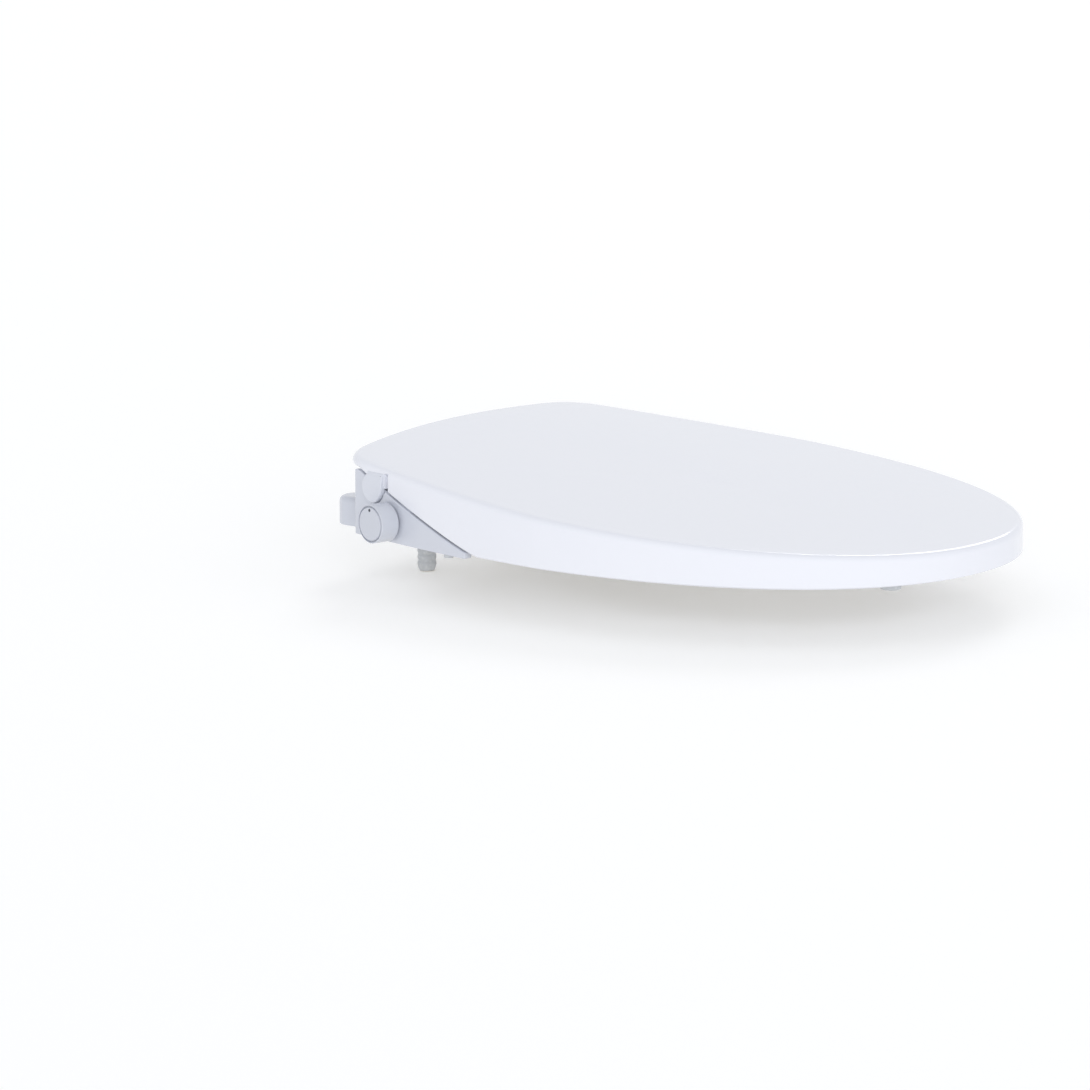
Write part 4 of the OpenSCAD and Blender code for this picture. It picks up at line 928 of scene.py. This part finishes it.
# %% Carry profiles round an axis
def revolve(profile, origin, axis, count=96, thread=None):
    """A profile (distance along the axis, radius) turned about the axis through origin.

    A point is origin + way axis + radius (cos(turn) side + sin(turn) other), where side and
    other are square to the axis, and thread adds to the radius by way and turn.
    """
    axis = np.asarray(axis, float) / np.linalg.norm(axis)
    helper = np.array([0, 0, 1.0]) if abs(axis[2]) < 0.9 else np.array([1.0, 0, 0])
    side = np.cross(axis, helper)
    side /= np.linalg.norm(side)
    other = np.cross(axis, side)
    turn = np.linspace(0, 2 * pi, count, endpoint=False)
    way, radius = np.asarray(profile, float).T
    radius = radius[:, None] + (0 if thread is None else thread(way[:, None], turn[None, :]))
    rings = (np.asarray(origin) + way[:, None, None] * axis
             + radius[..., None] * (np.cos(turn)[:, None] * side + np.sin(turn)[:, None] * other))
    return loft(rings)


def rounded(way, radius, r, rising):
    """A rounded corner of a profile: it ends a barrel of radius at way, or starts one if rising."""
    if rising:
        return [(way + lift, radius - depth) for depth, lift in rounding(r, 6)]
    return [(way - drop, radius - depth) for drop, depth in rounding(r, 6)]


joints = {joint["name"]: joint for joint in frame["record"]["behaviour"]["joints"]}
print("joints:", ", ".join(joints))

# %% [markdown]
# ## The knob
# The knob that lets the water through is a plain drum on the side wall. A fine groove runs
# round its face just inside the bevelled rim and reads as a thin grey ring. The dark dot near
# the rim shows how far it is turned, and stays a piece of its own.

# %% Build the knob
KNOB_R, KNOB_LEN, KNOB_EDGE = 14.2, 18.5, 0.7
knob_profile = [(0.8, 0.5), (0.8, KNOB_R - 2.4), (1.9, KNOB_R - 2.2), (2.3, KNOB_R - 1.9),
                (2.4, KNOB_R - 0.4), (2.9, KNOB_R), (9, KNOB_R)]
knob_profile += rounded(KNOB_LEN - 0.6, KNOB_R, KNOB_EDGE, False)
knob_profile += [(KNOB_LEN - 0.62, KNOB_R - 0.8), (KNOB_LEN - 2.4, KNOB_R - 0.9),
                 (KNOB_LEN - 2.4, KNOB_R - 1.9), (KNOB_LEN - 0.55, KNOB_R - 2.0),
                 (KNOB_LEN - 0.2, KNOB_R - 2.3), (KNOB_LEN - 0.1, 10),
                 (KNOB_LEN - 0.05, 5), (KNOB_LEN - 0.04, 0.5)]
knob_origin, knob_axis = np.array(joints["knob_turn"]["pos_m"]) / MM, joints["knob_turn"]["axis"]
make("knob_drum", [revolve(knob_profile, knob_origin, knob_axis, 144)], "knob_assembly", "knob")

# %% [markdown]
# ## The release button
# The button is a round cap with a shallow dish for the fingertip, a collar that keeps it in the
# wall, and a stem. A profile draws all three at once, where stacked cylinders would leave seams.

# %% Build the release button
BUTTON_Y, BUTTON_Z, BUTTON_R = -28.0, 16.0, 6.5
button_axis = -np.array(joints["release_button_press"]["axis"])
button_origin = [*wall_frame(BUTTON_Y, 1)[0], BUTTON_Z]
button_profile = [(-14.0, 0.4), (-14.0, 2.4), (-4.1, 2.4), (-3.9, BUTTON_R + 1.6),
                  (-2.7, BUTTON_R + 1.6), (-2.6, BUTTON_R)]
button_profile += rounded(1.2, BUTTON_R, 1.0, False)
button_profile += [(1.0, 4.5), (0.7, 3), (0.55, 1.5), (0.5, 0.3)]
make("button_cap", [revolve(button_profile, button_origin, button_axis)],
     "release", "release_button")

# %% [markdown]
# ## Feet and bumpers
# Soft rubber pads keep the seat off the bowl and the lid off the seat. A bevelled cylinder would
# do as well, but a profile gives the same round rims with what is at hand. The lid's pads reach
# from the lid's inside to a hair above the seat, so their heights follow those two surfaces.

# %% Build the feet and bumpers
def pad(radius, low, high, centre, soft=1.2):
    """A round pad with rounded rims, standing on its centre."""
    profile = [(0, 0.3), *rounded(0, radius, soft, True), *rounded(high - low, radius, soft, False),
               (high - low, 0.3)]
    return revolve(profile, [centre[0], centre[1], low], [0, 0, 1], 48)


SEAT_PAD_R, SEAT_PAD_H, LID_PAD_R, PAD_GAP, PAD_TOP = 7.5, 3.5, 6, 0.25, WALL + 0.6
seat_pads = [(s * x, y) for s in (-1, 1) for x, y in ((70, TIP + 36), (146, WIDE + 10))]
lid_pads = [(s * x, y) for s in (-1, 1) for x, y in ((62, TIP + 50), (122, TIP + 108))]
make("seat_pads", [pad(SEAT_PAD_R, 0, SEAT_PAD_H, spot) for spot in seat_pads],
     "seat", "seat_bumpers")
make("lid_pads", [pad(LID_PAD_R, seat_top(y) + PAD_GAP, edge_z(y) - PAD_TOP, (x, y))
                  for x, y in lid_pads], "lid_assembly", "lid_bumpers")

# %% [markdown]
# ## Expansion plugs
# A rubber plug sits in each hole of the bowl and swells as its bolt pulls the nut up. Its ribs
# could be rings laid round it, but a cosine in the profile gives them a soft, moulded look. The
# plug is hollow, so its profile is closed and the skin wraps both ways.

# %% Build the expansion plugs
PLUG_R, PLUG_LEN, RIB, RIB_PITCH, BOLT_HEAD_R = 7.0, 34.0, 0.55, 4.8, 6.5


def ring_revolve(profile, origin, axis, count=96, thread=None):
    """A closed profile that doesn't meet the axis, turned about it, so the skin wraps both ways."""
    points, _ = revolve(profile, origin, axis, count, thread)
    return loft(points[:-2].reshape(len(profile), count, 3), wrap=True)


def plug(x):
    """A ribbed rubber plug: its radius falls between ribs as a cosine, below a flat collar."""
    way = np.linspace(1.2, PLUG_LEN - 4, 90)
    ribs = PLUG_R - RIB * (0.5 - 0.5 * np.cos(2 * pi * way / RIB_PITCH)) ** 2
    collar = [(2, 3.4), (2, 10.2), (1.6, 10.8), (1, 11),
              (0.4, 10.8), (0, 10.2), (0, 7.4), (-0.4, PLUG_R)]
    tip = [(2.6 - PLUG_LEN, PLUG_R - 0.5), (1 - PLUG_LEN, PLUG_R - 0.9), (-PLUG_LEN, PLUG_R - 1.6),
           (-PLUG_LEN, 5.6), (6 - PLUG_LEN, 5.6), (6 - PLUG_LEN, 3.2), (1.9, 3.2)]
    return ring_revolve(np.vstack([collar, np.c_[-way, ribs], tip]), [x, 0, 0], [0, 0, 1])


plug_x = box_mm("fixing_bolts")[1][0] - BOLT_HEAD_R
make("expansion_plugs", [plug(s * plug_x) for s in (-1, 1)], "base", "rubber_plugs")

# %% [markdown]
# ## The water inlet
# The hose from the cistern screws onto a half-inch thread on the side away from the knob. The
# thread is a ridge that climbs as it goes round, so the radius depends on the distance along
# the axis less the turn's share of one pitch. A ridge swept along a helix would leave two ends
# to close by hand, where this one fades out.

# %% Build the inlet
INLET_R, STUB, PITCH, THREAD_DEPTH = 10.48, 13.0, 1.814, 1.16
THREAD_START, THREAD_END, RUN_OUT, STEEP, CREST = 1.8, 12.2, 0.9, 1.25, 0.12
inlet_low, inlet_high = box_mm("inlet_fitting")
inlet_start = inlet_high[0] - STUB
inlet_middle = (inlet_low[1:] + inlet_high[1:]) / 2
shank = [(-19, 1.8), (-19, 2.9), (-12, 3.0), (-12, 9.4), (-11.6, 9.8), (-9.4, 9.8), (-9, 9.4),
         (-9, 7.8), (0, 7.8), (0, INLET_R - 1), (0.5, INLET_R - 0.1)]
ways = np.linspace(1.2, 12.4, 74)
bore = [(12.9, INLET_R - 0.8), (STUB, 9.4), (STUB, 6.9), (12.7, 6.6), (1, 6.6), (1, 1.8)]
inlet_profile = np.vstack([shank, np.c_[ways, np.full(len(ways), INLET_R)], bore])


def thread(way, turn):
    """Depth below the crests, fading at the thread's ends and 0 on the rows of the bore."""
    phase = way / PITCH - turn / (2 * pi)
    depth = np.abs((phase % 1) - 0.5) * 2
    fade = (np.clip((way - THREAD_START) / RUN_OUT, 0, 1)
            * np.clip((THREAD_END - way) / RUN_OUT, 0, 1))
    outside = np.arange(len(way))[:, None] < len(shank) + len(ways)
    return -THREAD_DEPTH * np.clip(depth * STEEP - CREST, 0, 1) * fade * outside


stub = ring_revolve(inlet_profile, [inlet_start, *inlet_middle], [1, 0, 0], 96, thread)
make("inlet_stub", [stub], "base", "inlet_fitting", crease=25)

# %% [markdown]
# ## Plain mouldings with eased edges
# The tray, the plate, the nozzles and their flap are right as the frame gives them, but a real
# mould leaves no sharp edge. A copy of the mesh is merged, its flat faces are joined again, and
# a narrow bevel eases what is left. Drawing these pieces anew would only repeat the frame.

# %% Ease the edges of the plain mouldings
MERGE, FLAT, EDGE, EASED_CREASE = 20 * MICRON, radians(0.6), radians(35), 32


def modify(piece, kind, **settings):
    """Adds a modifier with its settings."""
    modifier = piece.modifiers.new(kind.lower(), kind)
    for key, value in settings.items():
        setattr(modifier, key, value)


def eased(name, node, body, width):
    """A copy of a CAD node with narrow rounded edges, standing for the node."""
    mesh = frame["nodes"][node].data.copy()
    mesh.name = name
    piece = bpy.data.objects.new(name, mesh)
    bpy.context.collection.objects.link(piece)
    modify(piece, "WELD", merge_threshold=MERGE)
    modify(piece, "DECIMATE", decimate_type="DISSOLVE", angle_limit=FLAT)
    modify(piece, "BEVEL", width=width * MM, segments=2, limit_method="ANGLE", angle_limit=EDGE)
    piece_now = piece.evaluated_get(bpy.context.evaluated_depsgraph_get())
    piece.data = bpy.data.meshes.new_from_object(piece_now)
    piece.modifiers.clear()
    dress(piece, body, node, EASED_CREASE)


eased("tray", "base_bottom", "base", 0.35)
eased("fixing_plate", "mounting_plate", "base", 0.35)
eased("nozzle_flap", "nozzle_guard", "guard", 0.3)
eased("nozzle_for_women", "front_nozzle", "front_nozzle_assembly", 0.25)
eased("nozzle_for_washing", "rear_nozzle", "rear_nozzle_assembly", 0.25)
eased("nozzle_block", "nozzle_cylinders", "base", 0.3)

# %% [markdown]
# ## The floor
# The seat is shown on a plain pale floor in an even, cool studio light. The sky makes the floor
# a little blue, and a faint warm glow of its own takes that out again. A paler colour alone
# would not, because it can't give back more light than it gets.

# %% Set the floor
FLOOR_SIZE, FLOOR_GAP, GLOW = 80, 0.0004, 0.25      # metres, metres, strength
floor_z = cad_low[2] - FLOOR_GAP
bpy.ops.mesh.primitive_plane_add(size=FLOOR_SIZE, location=(0, 0, floor_z))
floor = bpy.context.object
floor.name = "floor"
floor_finish = Finish("pale floor", Base_Color=(0.86, 0.875, 0.9), Roughness=0.7,
                      Emission_Color=(1.0, 0.95, 0.82), Emission_Strength=GLOW)
floor.data.materials.append(floor_finish.material)
print("floor at", round(floor_z, 4))

# %% [markdown]
# ## The sky
# A bright sky all round gives soft shading without lamps that have to be mirrored or hidden.
# Camera, glossy and transmitted rays see a bright backdrop, so that gloss mirrors a white
# studio, and all other rays gather a dimmer, bluer light.

# %% Set the sky
SKY, SKY_STRENGTH, BACKDROP = (0.945, 0.96, 1.0, 1), 0.74, (0.955, 0.965, 0.98, 1)
world = bpy.data.worlds.new("studio")
bpy.context.scene.world = world
world.use_nodes = True
nodes = world.node_tree.nodes
nodes.clear()
rays = nodes.new("ShaderNodeLightPath").outputs
seen, also = (nodes.new("ShaderNodeMath") for _ in range(2))
seen.operation = also.operation = "MAXIMUM"
light, backdrop = (nodes.new("ShaderNodeBackground") for _ in range(2))
light.inputs[0].default_value = SKY
light.inputs[1].default_value = SKY_STRENGTH
backdrop.inputs[0].default_value = BACKDROP
choice, out = nodes.new("ShaderNodeMixShader"), nodes.new("ShaderNodeOutputWorld")
for source, target in ((rays["Is Camera Ray"], seen.inputs[0]),
                       (rays["Is Glossy Ray"], seen.inputs[1]),
                       (seen.outputs[0], also.inputs[0]),
                       (rays["Is Transmission Ray"], also.inputs[1]),
                       (also.outputs[0], choice.inputs[0]),
                       (light.outputs[0], choice.inputs[1]),
                       (backdrop.outputs[0], choice.inputs[2]),
                       (choice.outputs[0], out.inputs[0])):
    world.node_tree.links.new(source, target)
print("sky nodes:", len(nodes))

# %% [markdown]
# ## The lamps
# One low wide lamp in front brightens the lid's nose, and a narrower one behind draws the bright
# line along the nose's edge. Area lamps would leave the floor brighter near them, which sun
# lamps don't. The front lamp isn't mirrored, or the lid would burn out when seen from behind.

# %% Hang the lamps
def sun(name, azimuth, elevation, strength, spread_angle, shine=True):
    """A wide soft lamp that shines from an azimuth and an elevation, in degrees."""
    lamp = bpy.data.objects.new(name, bpy.data.lights.new(name, "SUN"))
    lamp.data.energy = strength
    lamp.data.angle = radians(spread_angle)
    lamp.rotation_euler = (radians(90 - elevation), 0, radians(azimuth))
    lamp.visible_glossy = shine
    bpy.context.collection.objects.link(lamp)


sun("front lamp", -45, 15, 0.85, 40, shine=False)
sun("back lamp", 112, 32, 0.3, 20)
view = bpy.context.scene.view_settings
view.view_transform = "Standard"

# %% [markdown]
# ## The size
# A finely rounded form may pass the few flat faces of its solid by a hair, here by half a
# millimetre at the lid's highest place.
